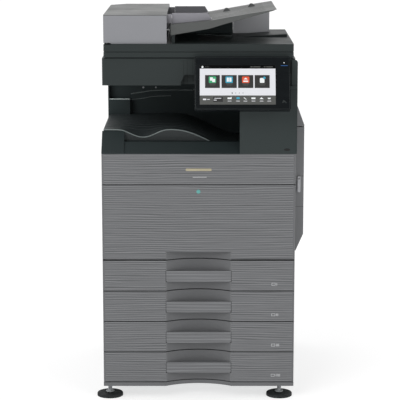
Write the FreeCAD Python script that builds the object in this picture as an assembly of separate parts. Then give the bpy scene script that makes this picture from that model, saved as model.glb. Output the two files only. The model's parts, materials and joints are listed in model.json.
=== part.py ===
# Floor-standing colour photocopier: every piece is written as its own STEP file, in millimetres.
# X runs left to right, Y from the front to the back, Z up. The body's own front plane is y = 0.

import math
import os

import FreeCAD, Part
from FreeCAD import Vector

# ---- body ----
body_half = 293.0            # half the body's width
body_depth = 640.0           # front plane to rear cover
cover_wall = 4.0             # moulded covers
plate = 3.0                  # steel frame plates
front_thick = 20.0           # drawer fronts, front plane to the back of their rims
seam = 2.5                   # gap line between neighbouring fronts
rest_gap = 0.3               # between pieces that pass close by each other
slide_gap = 0.2              # between a slider and what carries it
fit = 0.05                   # radial clearance of pins in bores

# ---- heights ----
base_low = 37.0              # underside of the plinth
base_high = 50.0             # top of the plinth, where the covers start
drawer_pitch = 96.25
drawer_count = 4
drawers_top = base_high + drawer_count * drawer_pitch
front_cover_height = 234.0
upper_panel_height = 94.0
bay_height = 206.0
scanner_height = 81.0
feeder_gap = 3.0             # seam between scanner and feeder
feeder_base_height = 40.0
hood_height = 86.0
cover_top = drawers_top + front_cover_height
engine_top = cover_top + upper_panel_height
scanner_low = engine_top + bay_height
scanner_high = scanner_low + scanner_height
feeder_low = scanner_high + feeder_gap
feeder_deck = feeder_low + feeder_base_height
feeder_high = feeder_deck + hood_height
frame_inner = body_half - cover_wall - plate

# ---- scoop that runs down the middle of the fronts ----
scoop_half = 101.0
scoop_depth = 30.0
scoop_wall = 9.0
scoop_radius = (scoop_half ** 2 + scoop_depth ** 2) / (2 * scoop_depth)
scoop_centre = scoop_depth - scoop_radius
scoop_back = scoop_depth + scoop_wall
scoop_room = 7.0             # free space behind the scoop wall
scoop_block = scoop_half + 11.0

# ---- drawers ----
rib_inner = 140.0            # upright ribs that carry the front on its tub
rib_outer = body_half - 63.0
grip_low = 29.0              # grip bar above the bottom of its drawer
grip_high = 62.5
grip_thick = 8.0
grip_corner = 7.0
tub_half = frame_inner - 24.0
tub_wall = 4.0
tub_low = 8.0                # above the drawer's bottom
tub_high = 84.0
tub_end = body_depth - 140.0
runner_low = 14.0
runner_high = 26.0
runner_reach = 22.0
rail_thick = 3.0

# ---- covers on the front ----
cover_thick = 18.0
cover_pivot_y = cover_wall + 4.0
cover_pivot_z = drawers_top + seam / 2 + cover_wall + 3.75
cover_pin = 2.5
cover_lug = 3.6
cover_lug_x = body_half - 53.0
cover_lug_half = 4.0
scoop_top = drawers_top + 26.0  # upper end of the scoop, in the front cover

# ---- feet and casters ----
foot_radius = 40.0
foot_thick = 9.0
foot_left_x = 18.0 - body_half
foot_right_x = body_half - 43.0
foot_y = 30.0
stem_radius = 6.0
hub_radius = 13.0
hub_thick = 5.0
wheel_radius = 17.0
wheel_half = 12.0
axle_radius = 4.0
caster_x = body_half - 63.0
caster_front = 150.0
caster_rear = body_depth - 90.0

# ---- exit bay ----
bay_front = 60.0             # front edge of the exit tray
bay_back = 430.0             # rear wall of the bay
tray_level = engine_top + 66.0
tray_drop = 69.0             # fall of the tray towards the right
tray_knee = 216.0 - body_half  # where that fall starts
tray_dip = 23.0              # depth of the hand scoop in the front edge
dip_x = 124.0 - body_half
dip_half = 78.0
tray_skin = 4.0
tray_foot = engine_top - 13.0  # lower edge of the tray's side walls
ledge_y = 34.0
ledge_z = engine_top + 32.0
notch_left = 68.0 - body_half  # the slope is deeper from here to the right
column_left = body_half - 151.0
column_right = body_half + 3.0
pillar_right = 71.0 - body_half
pillar_front = bay_back - 30.0
pillar_high = tray_level + 50.0

# ---- scanner ----
panel_right = body_half - 21.0
panel_left = panel_right - 284.0
scanner_half = body_half - 4.0
scanner_front = 12.0
scanner_back = body_depth
frame_thick = 4.0
ledge_high = scanner_low + 36.0  # the carriage runs on ledges at this height
ledge_reach = 34.0
recess_left = panel_left - 30.0  # step in the underside behind the control panel
recess_back = 46.0
recess_high = scanner_low + 32.0
glass_x = (64.0 - scanner_half, scanner_half - 34.0)
glass_y = (80.0, 410.0)
glass_thick = 3.0
glass_lip = 6.0
carriage_x = 27.0 - scanner_half
carriage_width = 40.0
carriage_back = glass_y[1] + 130.0

# ---- document feeder ----
feeder_half = body_half - 9.0
feeder_front = 8.0
feeder_back = 535.0
feeder_wall = 4.0
groove_low = feeder_low + 15.0
groove_high = groove_low + 3.0
groove_deep = 2.0
hinge_y = feeder_back + 13.0
hinge_z = scanner_high + 8.0
hinge_x = scanner_half - 109.0
hinge_pin = 4.0
hinge_knuckle = 7.5
hood_front = 14.0
hood_back = feeder_back - 31.0
hood_right = 189.0 - feeder_half
hood_chamfer = 50.0
hood_wall = 3.0
hood_low = feeder_deck + 3.0
hood_pivot_x = hood_wall + 5.0 - feeder_half
hood_pivot_z = feeder_deck + 7.0
hood_pin = 2.5
hood_lug = 4.6
rim_width = 22.0
rim_high = feeder_deck - 2.5
slope_left = hood_right + 11.0  # document tray
slope_front = 30.0
slope_back = 410.0
slope_skin = 4.0
slope_rise = [(0.0, 55.8), (124.0, 69.0), (163.0, 76.0), (237.0, 89.0), (317.0, 101.5)]
slope_return = [(306.0, 97.0), (237.0, 78.0), (163.0, 58.0), (117.0, 44.0), (0.0, 24.0)]
slope_top = [(slope_left + run, feeder_deck + rise) for run, rise in slope_rise]
slope_under = [(slope_left + run, feeder_deck + rise) for run, rise in slope_return]
slope_pivot_x = slope_left + 8.0
slope_pivot_z = feeder_deck + 47.0
slope_post = 5.0
slope_pin = 2.5
guide_thick = 3.0
guide_high = feeder_deck + 88.5
guide_front = slope_front + 26.0
guide_back = slope_back - 56.0
guide_foot = 41.0
roller_x = hood_right - 55.0
roller_z = feeder_deck + 35.0
roller_shaft = 4.0

# ---- control panel ----
panel_top_y = -12.0
panel_top_z = scanner_high + 8.5
panel_length = 165.2
panel_thick = 18.0
panel_tilt = 23.5            # degrees back from upright
panel_pivot_y = 6.3
panel_pivot_z = scanner_high - 10.0
panel_pin = 3.0
panel_ear = 5.0
screen_left = panel_left + 15.3
screen_right = screen_left + 224.7
screen_top = 27.0
screen_bottom = 149.0
screen_thick = 2.0

# ---- right side ----
door_inner = column_right + 1.0
door_outer = door_inner + 25.0
door_front = 72.0
door_back = body_depth - 44.0
door_low = drawers_top + 15.0
door_high = engine_top + 72.0
door_wall = 4.0
taper_high = door_low + 53.0
door_pivot_x = door_outer - 6.0
door_pivot_y = door_back - 5.0
door_pin = 4.0
slant_low = door_high + 3.0
slant_high = slant_low + 66.0
slant_front = door_front - 2.0
slant_back = door_back + 6.0
opening_front = door_front + 3.0
opening_back = door_back - 21.0
opening_low = door_low + 5.0
bypass_y = (door_front + 68.0, door_back - 126.0)
bypass_z = (door_low + 50.0, door_high - 75.0)
bypass_floor = door_outer - 16.0
bypass_x = (door_outer - 8.5, door_outer - 0.5)
bypass_pivot_z = bypass_z[0] + 7.0
bypass_pin = 3.0
bypass_gap = 2.0
lever_x = door_inner + 10.5
lever_z = (door_low + 184.0, door_low + 233.0)
lever_half = 4.5
lever_thick = 5.2
lever_pivot = lever_z[1] - 7.0
lever_pin = 2.5

# ---- inside the engine ----
deck_low = drawers_top + 2.0
deck_high = deck_low + 4.0
deck_front = 26.0
inner_y = 30.0
rear_y = body_depth - 40.0
toner_radius = 30.0
toner_z = cover_top - 35.0
toner_front = 27.0
unit_pitch = 95.0
drum_z = (deck_high + 69.0, deck_high + 121.0)
drum_half = 30.0
belt_z = (drum_z[1] + 10.0, drum_z[1] + 34.0)
belt_x = (31.0 - body_half, 425.0 - body_half)
unit_x = [belt_x[0] + 47.0 + unit_pitch * place for place in range(4)]
laser_z = deck_high + 59.0
fuser_x = (body_half - 118.0, body_half - 18.0)
fuser_z = (engine_top - 123.0, engine_top - 33.0)
exit_x = column_left + 16.0
exit_z = engine_top + 43.0
exit_shaft = 4.0
exit_tyre = 10.0
inlet_x = body_half - 93.0
inlet_z = 110.0
inlet_half_x = 15.0
inlet_half_z = 11.0
flange_thick = 3.0

# The whole model is moved so that the middle of its footprint is the origin.
panel_reach = panel_top_y - panel_length * math.sin(math.radians(panel_tilt))
shift = Vector(
    -(foot_left_x - foot_radius + door_outer) / 2,
    -(panel_reach + body_depth + flange_thick) / 2,
    0)

os.makedirs("parts", exist_ok=True)


# ---------------------------------------------------------------- helpers
def box(x, y, z):
    return Part.makeBox(x[1] - x[0], y[1] - y[0], z[1] - z[0], Vector(x[0], y[0], z[0]))


def rod(axis, place, radius, span):
    """A cylinder along one axis; place gives its other two coordinates in X, Y, Z order."""
    if axis == "X":
        return Part.makeCylinder(radius, span[1] - span[0], Vector(span[0], *place), Vector(1, 0, 0))
    if axis == "Y":
        start = Vector(place[0], span[0], place[1])
        return Part.makeCylinder(radius, span[1] - span[0], start, Vector(0, 1, 0))
    start = Vector(place[0], place[1], span[0])
    return Part.makeCylinder(radius, span[1] - span[0], start, Vector(0, 0, 1))


def prism(axis, points, span):
    """A straight-sided outline drawn across one axis and carried along it."""
    place = {
        "X": lambda a, b: Vector(span[0], a, b),
        "Y": lambda a, b: Vector(a, span[0], b),
        "Z": lambda a, b: Vector(a, b, span[0]),
    }[axis]
    along = {"X": Vector(1, 0, 0), "Y": Vector(0, 1, 0), "Z": Vector(0, 0, 1)}[axis]
    corners = [place(a, b) for a, b in points]
    wire = Part.makePolygon(corners + corners[:1])
    return Part.Face(wire).extrude(along * (span[1] - span[0]))


def join(first, *others):
    shape = first
    for other in others:
        shape = shape.fuse(other)
    return shape.removeSplitter()


def cut(shape, *tools):
    for tool in tools:
        shape = shape.cut(tool)
    return shape


def both_sides(span):
    """The same X span on the left and on the right."""
    return [(-span[1], -span[0]), span]


def write(name, *shapes):
    """Writes one node; several separate solids share it only where they are identical pieces."""
    solids = [solid for shape in shapes for solid in shape.Solids]
    shape = solids[0] if len(solids) == 1 else Part.makeCompound(solids)
    shape = shape.translated(shift)
    shape.exportStep("parts/" + name + ".step")
    print(name, len(solids), "solid", shape.isValid())


def round_edges(shape, radius, chosen):
    """Fillets the straight edges for which chosen(middle, direction) holds."""
    edges = []
    for edge in shape.Edges:
        if len(edge.Vertexes) == 2 and isinstance(edge.Curve, (Part.Line, Part.LineSegment)):
            ends = [vertex.Point for vertex in edge.Vertexes]
            middle = (ends[0] + ends[1]) * 0.5
            if chosen(middle, ends[1] - ends[0]):
                edges.append(edge)
    return shape.makeFillet(radius, edges)


def scoop_cut(z):
    return rod("Z", (0, scoop_centre), scoop_radius, z)


def scoop_shell(z):
    """The curved wall behind the scoop, over the height z."""
    outer = rod("Z", (0, scoop_centre), scoop_radius + scoop_wall, z)
    block = box((-scoop_block, scoop_block), (cover_wall / 2, scoop_back + 1), z)
    return outer.common(block)


def front_shell(z, thick):
    """A moulded front: a face plate with rims turned back all round."""
    shell = box((-body_half, body_half), (0, thick), z)
    upright = lambda middle, way: abs(way.z) > 1 and middle.y < 1
    shell = round_edges(shell, cover_wall, upright)
    hollow_x = (-body_half + cover_wall, body_half - cover_wall)
    hollow = box(hollow_x, (cover_wall, thick), (z[0] + cover_wall, z[1] - cover_wall))
    return shell.cut(hollow)


# ---------------------------------------------------------------- stand and frame
def make_base():
    side = body_half - cover_wall
    front = scoop_back + 5
    bar_high = base_high - seam / 2
    bar = box((-body_half, body_half), (0, front), (base_low, bar_high))
    bar = cut(bar, scoop_cut((base_low, base_high)))
    for x in (foot_left_x, foot_right_x):
        bar = bar.cut(rod("Z", (x, foot_y), stem_radius + fit, (base_low, base_high)))
    skirts = [box(x, (front, body_depth), (base_low, base_high)) for x in both_sides((side, body_half))]
    back = box((-side, side), (body_depth - cover_wall, body_depth), (base_low, base_high))
    write("base_cover", join(bar, *skirts, back))
    pan = box((-side, side), (front, body_depth - cover_wall), (base_high - plate, base_high))
    write("base_pan", pan)


def side_frame(sign):
    """One side plate with the ledges that carry the four drawers."""
    outer = body_half - cover_wall
    inner = outer - plate
    place = lambda a, b: (a, b) if sign > 0 else (-b, -a)
    pieces = [box(place(inner, outer), (front_thick + 4, rear_y), (base_high, tray_foot))]
    for index in range(drawer_count):
        low = base_high + index * drawer_pitch
        for z in (low + runner_low - rail_thick, low + runner_high + 2 * slide_gap):
            ledge = (inner - runner_reach, inner)
            pieces.append(box(place(*ledge), (front_thick + 4, rear_y - 4), (z, z + rail_thick)))
    return join(*pieces)


def make_frames():
    write("left_frame", side_frame(-1))
    window = box((0, body_half), (opening_front + 35, opening_back - 15), (laser_z, tray_foot - 10))
    write("right_frame", side_frame(1).cut(window))
    side = body_half - cover_wall
    write("rear_frame", box((-side, side), (rear_y, rear_y + plate), (base_high, scanner_low - 9)))
    inner = side - plate
    deck = box((-inner, inner), (deck_front, rear_y), (deck_low, deck_high))
    room = (-scoop_block - 6, scoop_block + 6)
    deck = deck.cut(box(room, (0, scoop_back + scoop_room), (deck_low, deck_high)))
    for sign in (-1, 1):
        x = (sign * cover_lug_x - cover_lug_half, sign * cover_lug_x + cover_lug_half)
        z = (cover_pivot_z - cover_lug, cover_pivot_z + cover_lug)
        arm = box(x, (cover_pivot_y, inner_y), z)
        eye = rod("X", (cover_pivot_y, cover_pivot_z), cover_lug, x)
        bore = rod("X", (cover_pivot_y, cover_pivot_z), cover_pin + fit, x)
        deck = join(deck, arm, eye).cut(bore)
    write("engine_deck", deck)
    wall = box((-inner, inner), (inner_y, inner_y + plate), (deck_high, tray_foot))
    wall = wall.cut(box(room, (0, 100), (deck_high, scoop_top + 29)))
    for x in unit_x:
        wall = wall.cut(rod("Y", (x, toner_z), toner_radius + rest_gap, (0, 100)))
    write("inner_front_plate", wall)


def make_casters():
    forks = []
    for x, y in [(a, b) for b in (caster_front, caster_rear) for a in (-caster_x, caster_x)]:
        top = base_high - plate
        cheek_in = wheel_half + 1
        cheek_out = cheek_in + 3
        fork = box((x - 22, x + 22), (y - 26, y + 26), (top - 4, top))
        for side in ((x - cheek_out, x - cheek_in), (x + cheek_in, x + cheek_out)):
            fork = fork.fuse(box(side, (y - 9, y + 9), (wheel_radius - 8, top - 2)))
        axle = rod("X", (y, wheel_radius), axle_radius, (x - cheek_out, x + cheek_out))
        forks.append(join(fork, axle))
        tyre = rod("X", (y, wheel_radius), wheel_radius, (x - wheel_half, x + wheel_half))
        bore = rod("X", (y, wheel_radius), axle_radius + fit, (x - wheel_half, x + wheel_half))
        side_name = "left" if x < 0 else "right"
        end_name = "front" if y == caster_front else "rear"
        write("caster_wheel_" + end_name + "_" + side_name, tyre.cut(bore))
    write("caster_forks", *forks)


def make_feet():
    for name, x in (("left", foot_left_x), ("right", foot_right_x)):
        disc = rod("Z", (x, foot_y), foot_radius, (0, foot_thick))
        rim = [edge for edge in disc.Edges if edge.BoundBox.ZMin > foot_thick - 0.1]
        disc = disc.makeFillet(3, rim)
        hub = rod("Z", (x, foot_y), hub_radius, (foot_thick - 1, foot_thick + hub_thick))
        stem = rod("Z", (x, foot_y), stem_radius, (foot_thick - 1, base_high - seam))
        write("levelling_foot_" + name, join(disc, hub, stem))


# ---------------------------------------------------------------- drawers
def make_drawer(number):
    low = base_high + (drawer_count - number) * drawer_pitch
    z = (low + seam / 2, low + drawer_pitch - seam / 2)
    bar_z = (low + grip_low, low + grip_high)
    bar_x = (-scoop_half + 0.5, scoop_half - 0.5)
    front = join(front_shell(z, front_thick), scoop_shell(z))
    for x in (-rib_outer, -rib_inner, rib_inner, rib_outer):
        front = front.fuse(box((x - 1.5, x + 1.5), (cover_wall - 1, front_thick), z))
    front = cut(front, scoop_cut(z), box(bar_x, (0, grip_thick), bar_z))
    write("drawer_%d_front" % number, front)

    bar = box(bar_x, (0, grip_thick), bar_z)
    lower = lambda middle, way: abs(way.y) > 1 and middle.z < bar_z[0] + 1
    write("drawer_%d_grip" % number, round_edges(bar, grip_corner, lower))

    tub_z = (low + tub_low, low + tub_high)
    tub = box((-tub_half, tub_half), (front_thick, tub_end), tub_z)
    inner_half = tub_half - tub_wall
    inside = box((-inner_half, inner_half), (front_thick + tub_wall, tub_end - tub_wall),
                 (tub_z[0] + tub_wall, tub_z[1]))
    tub = tub.cut(inside)
    niche_back = scoop_back + 1
    niche = box((-scoop_block - 4, scoop_block + 4), (front_thick, niche_back), tub_z)
    wall = box((-scoop_block - 8, scoop_block + 8), (front_thick, niche_back + tub_wall), tub_z)
    tub = join(tub, wall).cut(niche)
    for x in both_sides((tub_half - 1, tub_half + runner_reach)):
        runner = box(x, (front_thick + tub_wall, tub_end), (low + runner_low + slide_gap, low + runner_high))
        tub = tub.fuse(runner)
    write("drawer_%d_tub" % number, tub.removeSplitter())


# ---------------------------------------------------------------- outer covers
def make_side_covers():
    inner = body_half - cover_wall
    y = (front_thick + 2, body_depth - cover_wall)
    write("left_cover", box((-body_half, -inner), y, (base_high, engine_top)))

    right = box((inner, body_half), y, (base_high, engine_top))
    right = right.cut(box((0, 400), (opening_front, opening_back), (opening_low, engine_top + 1)))
    tab_z = (taper_high - 17, taper_high - 9)
    tab = box((body_half - 1, door_pivot_x), (door_pivot_y - 6, door_pivot_y + 6), tab_z)
    eye = rod("Z", (door_pivot_x, door_pivot_y), door_outer - door_pivot_x, tab_z)
    bore = rod("Z", (door_pivot_x, door_pivot_y), door_pin + fit, tab_z)
    write("right_cover", join(right, tab, eye).cut(bore).removeSplitter())

    y = (body_depth - cover_wall, body_depth)
    rear = box((-body_half, body_half), y, (base_high, scanner_low))
    hole_x = (inlet_x - inlet_half_x, inlet_x + inlet_half_x)
    hole_z = (inlet_z - inlet_half_z, inlet_z + inlet_half_z)
    write("rear_cover", rear.cut(box(hole_x, y, hole_z)))

    write("upper_front_panel", front_shell((cover_top + seam / 2, engine_top), cover_thick))


def make_front_cover():
    z = (drawers_top + seam / 2, cover_top - seam / 2)
    shell = front_shell(z, cover_thick)
    low_edge = lambda middle, way: abs(way.x) > 100 and middle.y < 1 and middle.z < z[0] + 1
    scoop_z = (z[0], scoop_top + cover_wall)
    shell = join(shell, scoop_shell(scoop_z))
    shell = shell.cut(scoop_cut((z[0], scoop_top)))
    edge = [(-1, z[0] - 1), (3.0, z[0] - 1), (3.0, z[0]), (0, z[0] + 3.0), (-1, z[0] + 3.0)]
    shell = shell.cut(prism("X", edge, (-body_half - 1, body_half + 1)))
    for sign in (-1, 1):
        middle = sign * cover_lug_x
        slot = (middle - cover_lug_half - 1, middle + cover_lug_half + 1)
        shell = shell.cut(box(slot, (cover_wall, cover_thick), (z[0], z[0] + cover_wall + 1)))
        for side in ((slot[0] - 3, slot[0]), (slot[1], slot[1] + 3)):
            rib = box(side, (cover_wall - 1, cover_thick - 2), (z[0] + cover_wall - 1, z[0] + 22))
            shell = shell.fuse(rib)
        pin = rod("X", (cover_pivot_y, cover_pivot_z), cover_pin, (slot[0] - 2, slot[1] + 2))
        shell = shell.fuse(pin)
    write("front_cover", shell.removeSplitter())


# ---------------------------------------------------------------- exit bay
def tray_height(x, y):
    """Height of the exit tray: level on the left, falling to the right, with a dip in front."""
    height = tray_level
    if x > tray_knee:
        share = min(1.0, (x - tray_knee) / (column_left - tray_knee))
        height -= tray_drop * (0.5 - 0.5 * math.cos(math.pi * share)) if share < 1 else tray_drop
    if abs(x - dip_x) < dip_half:
        fade = max(0.0, 1 - (y - bay_front) / 190.0) ** 2
        height -= tray_dip * fade * (0.5 + 0.5 * math.cos(math.pi * (x - dip_x) / dip_half))
    return height


def tray_section(y, below, inset):
    """A closed outline across the tray: its surface, lowered by below, and straight sides down."""
    left = -body_half + cover_wall + inset
    right = column_left - inset
    low = tray_foot - inset
    steps = 24
    xs = [left + (right - left) * i / steps for i in range(steps + 1)]
    top = Part.BSplineCurve()
    top.interpolate([Vector(x, y, tray_height(x, y) - below) for x in xs])
    corners = [top.EndPoint, Vector(right, y, low), Vector(left, y, low), top.StartPoint]
    sides = [Part.makeLine(a, b) for a, b in zip(corners, corners[1:])]
    return Part.Wire([top.toShape()] + sides)


def make_bay():
    middle = (110.0, 170.0, 250.0)
    tray = Part.makeLoft([tray_section(y, 0, 0) for y in (bay_front, *middle, bay_back)], True)
    ends = (bay_front + tray_skin, *middle, bay_back + 1)
    tray = tray.cut(Part.makeLoft([tray_section(y, tray_skin, tray_skin) for y in ends], True))
    write("exit_tray", tray)

    slope = prism("X", [(0, engine_top), (ledge_y, ledge_z), (bay_front, ledge_z), (bay_front, engine_top)],
                  (notch_left, column_left))
    under = [(7, engine_top - 1), (ledge_y + 2, ledge_z - 4), (bay_front - 4, ledge_z - 4),
             (bay_front - 4, engine_top - 1)]
    slope = slope.cut(prism("X", under, (notch_left + 4, column_left - 4)))
    arm_high = tray_level - 4
    arm = prism("X", [(0, engine_top), (0, engine_top + 5), (bay_front, arm_high), (bay_front, engine_top)],
                (-body_half, notch_left))
    arm = arm.cut(prism("X", [(8, engine_top - 1), (8, engine_top + 6), (bay_front - 4, arm_high - 9),
                              (bay_front - 4, engine_top - 1)], (-body_half + 4, notch_left - 4)))
    write("bay_front_cover", join(slope, arm))

    left = -body_half + cover_wall
    wall = box((left, column_left), (bay_back, bay_back + cover_wall), (engine_top, scanner_low))
    wing = box((-body_half, left), (pillar_front, body_depth - cover_wall), (engine_top, scanner_low))
    pillar = box((left, pillar_right), (pillar_front, bay_back), (tray_level, pillar_high))
    write("bay_rear_wall", join(wall, wing, pillar))


def make_column():
    rear = body_depth - cover_wall
    front = box((column_left, column_right), (0, cover_wall), (engine_top, scanner_low))
    corner = lambda middle, way: abs(way.y) > 1 and middle.x > column_right - 1 and middle.z < engine_top + 1
    front = round_edges(front, 6, corner)
    high = (engine_top, scanner_low)
    left = box((column_left, column_left + cover_wall), (0, bay_back + cover_wall), high)
    right = box((column_right - cover_wall, column_right), (2, rear), high)
    back = box((column_left, column_left + cover_wall), (bay_back, rear_y), high)
    horn = box((panel_right + 6, column_right), (2, scanner_front), (scanner_low - 1, scanner_high - 4))
    tip = lambda middle, way: abs(way.y) > 1 and middle.x > column_right - 1 and middle.z > scanner_low + 30
    horn = round_edges(horn, 8, tip)
    slot = box((column_left - 1, column_left + 9), (62, bay_back - 52), (exit_z - 8, exit_z + 8))
    column = join(front, left, right, back, horn).cut(slot)
    for y in ((40.0, 44.0), (bay_back - 34, bay_back - 30)):
        rib = box((column_left + 1, exit_x + 12), y, (exit_z - 10, exit_z + 10))
        column = column.fuse(rib).cut(rod("Y", (exit_x, exit_z), exit_shaft + fit, y))
    write("right_column", column.removeSplitter())

    roller = rod("Y", (exit_x, exit_z), exit_shaft, (36, bay_back - 26))
    for place in range(4):
        y = 80 + place * (bay_back - 180) / 3
        roller = roller.fuse(rod("Y", (exit_x, exit_z), exit_tyre, (y, y + 30)))
    write("exit_roller", roller.removeSplitter())


# ---------------------------------------------------------------- scanner
def make_scanner():
    wall = cover_wall
    low_in = scanner_low + wall
    high = scanner_high - frame_thick
    x_in = (-scanner_half + wall, scanner_half - wall)
    y_in = (scanner_front + wall, scanner_back - wall)
    shell = box((-scanner_half, scanner_half), (scanner_front, scanner_back), (scanner_low, high))
    upright = lambda middle, way: abs(way.z) > 1 and middle.y < scanner_front + 1
    shell = round_edges(shell, 6, upright)
    shell = shell.cut(box(x_in, y_in, (low_in, high)))
    ledge_z = (ledge_high - wall, ledge_high)
    shell = shell.fuse(box(x_in, (scanner_front, scanner_front + wall + ledge_reach), ledge_z))
    shell = shell.fuse(box(x_in, (carriage_back - 10, scanner_back), ledge_z))
    slope = scanner_low + 9
    step = [(recess_left - 11, scanner_low - 1), (recess_left - 11, slope), (recess_left, recess_high),
            (scanner_half + 1, recess_high), (scanner_half + 1, scanner_low - 1)]
    under_ledge = (scanner_low, ledge_high)
    shell = shell.fuse(box((recess_left - 20, x_in[1]), (recess_back, recess_back + wall), under_ledge))
    shell = shell.fuse(box((recess_left - 20, recess_left - 11), (scanner_front, recess_back), under_ledge))
    shell = shell.cut(prism("Y", step, (scanner_front - 1, recess_back)))
    middle = (panel_left + panel_right) / 2
    for sign in (-1, 1):
        lug = sorted((middle + sign * 58, middle + sign * 70))
        pin = sorted((middle + sign * 44, middle + sign * 59))
        shell = shell.fuse(rod("X", (panel_pivot_y, panel_pivot_z), panel_ear, lug))
        z = (panel_pivot_z - panel_ear, panel_pivot_z + panel_ear)
        shell = shell.fuse(box(lug, (panel_pivot_y, scanner_front + 1), z))
        shell = shell.fuse(rod("X", (panel_pivot_y, panel_pivot_z), panel_pin, pin))
    write("scanner_housing", shell.removeSplitter())

    frame = box((-scanner_half, scanner_half), (scanner_front, scanner_back), (high, scanner_high))
    frame = round_edges(frame, 6, upright)
    seat = scanner_high - glass_thick
    frame = frame.cut(box(glass_x, glass_y, (seat, scanner_high)))
    lip_x = (glass_x[0] + glass_lip, glass_x[1] - glass_lip)
    lip_y = (glass_y[0] + glass_lip, glass_y[1] - glass_lip)
    frame = frame.cut(box(lip_x, lip_y, (high, scanner_high)))
    for sign in (-1, 1):
        x = (sign * hinge_x - 8, sign * hinge_x + 8)
        y = (hinge_y - hinge_knuckle, hinge_y + hinge_knuckle)
        frame = frame.fuse(box(x, y, (scanner_high - 1, hinge_z)))
        frame = frame.fuse(rod("X", (hinge_y, hinge_z), hinge_knuckle, x))
        frame = frame.cut(rod("X", (hinge_y, hinge_z), hinge_pin + fit, x))
    write("scanner_top_frame", frame.removeSplitter())
    write("platen_glass", box(glass_x, glass_y, (seat, scanner_high)))

    x = (carriage_x, carriage_x + carriage_width)
    z = (ledge_high + slide_gap, high - 3)
    body = box(x, (scanner_front + wall + ledge_reach - 10, carriage_back), z)
    lamp = box((x[0] + 12, x[1] - 12), (glass_y[0], glass_y[1]), (z[1] - 6, z[1]))
    write("scanner_carriage", body.cut(lamp))


# ---------------------------------------------------------------- document feeder
def slope_height(x):
    """Height of the flat lower part of the document tray."""
    (x0, z0), (x1, z1) = slope_top[0], slope_top[1]
    return z0 + (x - x0) * (z1 - z0) / (x1 - x0)


def make_feeder_base():
    wall = feeder_wall
    floor = feeder_low + 9
    base = box((-feeder_half, feeder_half), (feeder_front, feeder_back), (feeder_low, feeder_deck))
    upright = lambda middle, way: abs(way.z) > 1 and middle.y < feeder_front + 1
    base = round_edges(base, 6, upright)
    groove = box((-feeder_half, feeder_half), (feeder_front, feeder_back), (groove_low, groove_high))
    core = box((-feeder_half + groove_deep, feeder_half - groove_deep),
               (feeder_front + groove_deep, feeder_back - groove_deep), (groove_low, groove_high))
    base = base.cut(groove.cut(core))
    left_in = -feeder_half + rim_width
    base = base.cut(box((left_in, hood_right - 3), (hood_front + hood_wall + 3, hood_back - 8),
                        (floor, feeder_deck)))
    base = base.cut(box((left_in, feeder_half - 6), (feeder_front + 6, feeder_back - 6),
                        (floor, feeder_deck - wall)))
    base = base.cut(box((-feeder_half, left_in), (feeder_front, feeder_back), (rim_high, feeder_deck)))
    pad = box((glass_x[0] - 5 - rest_gap, glass_x[1] + 5 + rest_gap),
              (glass_y[0] - 5 - rest_gap, glass_y[1] + 5 + rest_gap), (feeder_low, feeder_low + 5))
    base = base.cut(pad)
    wedge = prism("Y", [(slope_left + 204, feeder_deck - 1), (feeder_half - 8, feeder_deck - 1),
                        (feeder_half - 8, feeder_deck + 9)], (250, 380))
    base = base.fuse(wedge)
    # hood lugs
    for y in ((20.0, 26.0), (437.0, 443.0)):
        x = (hood_pivot_x - hood_lug, hood_pivot_x + hood_lug)
        base = base.fuse(box(x, y, (rim_high - 1, hood_pivot_z)))
        base = base.fuse(rod("Y", (hood_pivot_x, hood_pivot_z), hood_lug, y))
        base = base.cut(rod("Y", (hood_pivot_x, hood_pivot_z), hood_pin + fit, y))
    # posts of the document tray
    for y in ((slope_front + slope_skin + 2, slope_front + slope_skin + 10),
              (slope_back - slope_skin - 10, slope_back - slope_skin - 2)):
        x = (slope_pivot_x - slope_post, slope_pivot_x + slope_post)
        base = base.fuse(box(x, y, (feeder_deck - 1, slope_pivot_z)))
        base = base.fuse(rod("Y", (slope_pivot_x, slope_pivot_z), slope_post, y))
        base = base.cut(rod("Y", (slope_pivot_x, slope_pivot_z), slope_pin + fit, y))
    # stands of the pick-up roller
    for y in ((140.0, 146.0), (374.0, 380.0)):
        base = base.fuse(box((roller_x - 8, roller_x + 8), y, (floor - 1, roller_z + 8)))
        base = base.cut(rod("Y", (roller_x, roller_z), roller_shaft + fit, y))
    # rear hinge arms, one each side of the fixed knuckle, with the pin between them
    for sign in (-1, 1):
        for side in ((-16, -9), (9, 16)):
            x = (sign * hinge_x + side[0], sign * hinge_x + side[1])
            base = base.fuse(box(x, (feeder_back - 1, hinge_y), (feeder_low, feeder_low + 12)))
            base = base.fuse(rod("X", (hinge_y, hinge_z), hinge_knuckle - 1, x))
        pin = rod("X", (hinge_y, hinge_z), hinge_pin, (sign * hinge_x - 10, sign * hinge_x + 10))
        base = base.fuse(pin)
    write("feeder_base", base.removeSplitter())

    pad_x = (glass_x[0] - 5, glass_x[1] + 5)
    pad_y = (glass_y[0] - 5, glass_y[1] + 5)
    write("platen_pad", box(pad_x, pad_y, (scanner_high + rest_gap, feeder_low + 5)))

    roller = rod("Y", (roller_x, roller_z), roller_shaft, (136, 384))
    roller = roller.fuse(rod("Y", (roller_x, roller_z), 14, (225, 295)))
    write("pickup_roller", roller.removeSplitter())


def hood_outline(inset):
    left = -feeder_half + inset
    front = hood_front + inset
    back = hood_back - inset
    corner = hood_chamfer - 0.586 * inset
    return [(left, front), (hood_right, front), (hood_right, back), (left + corner, back),
            (left, back - corner)]


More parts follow.
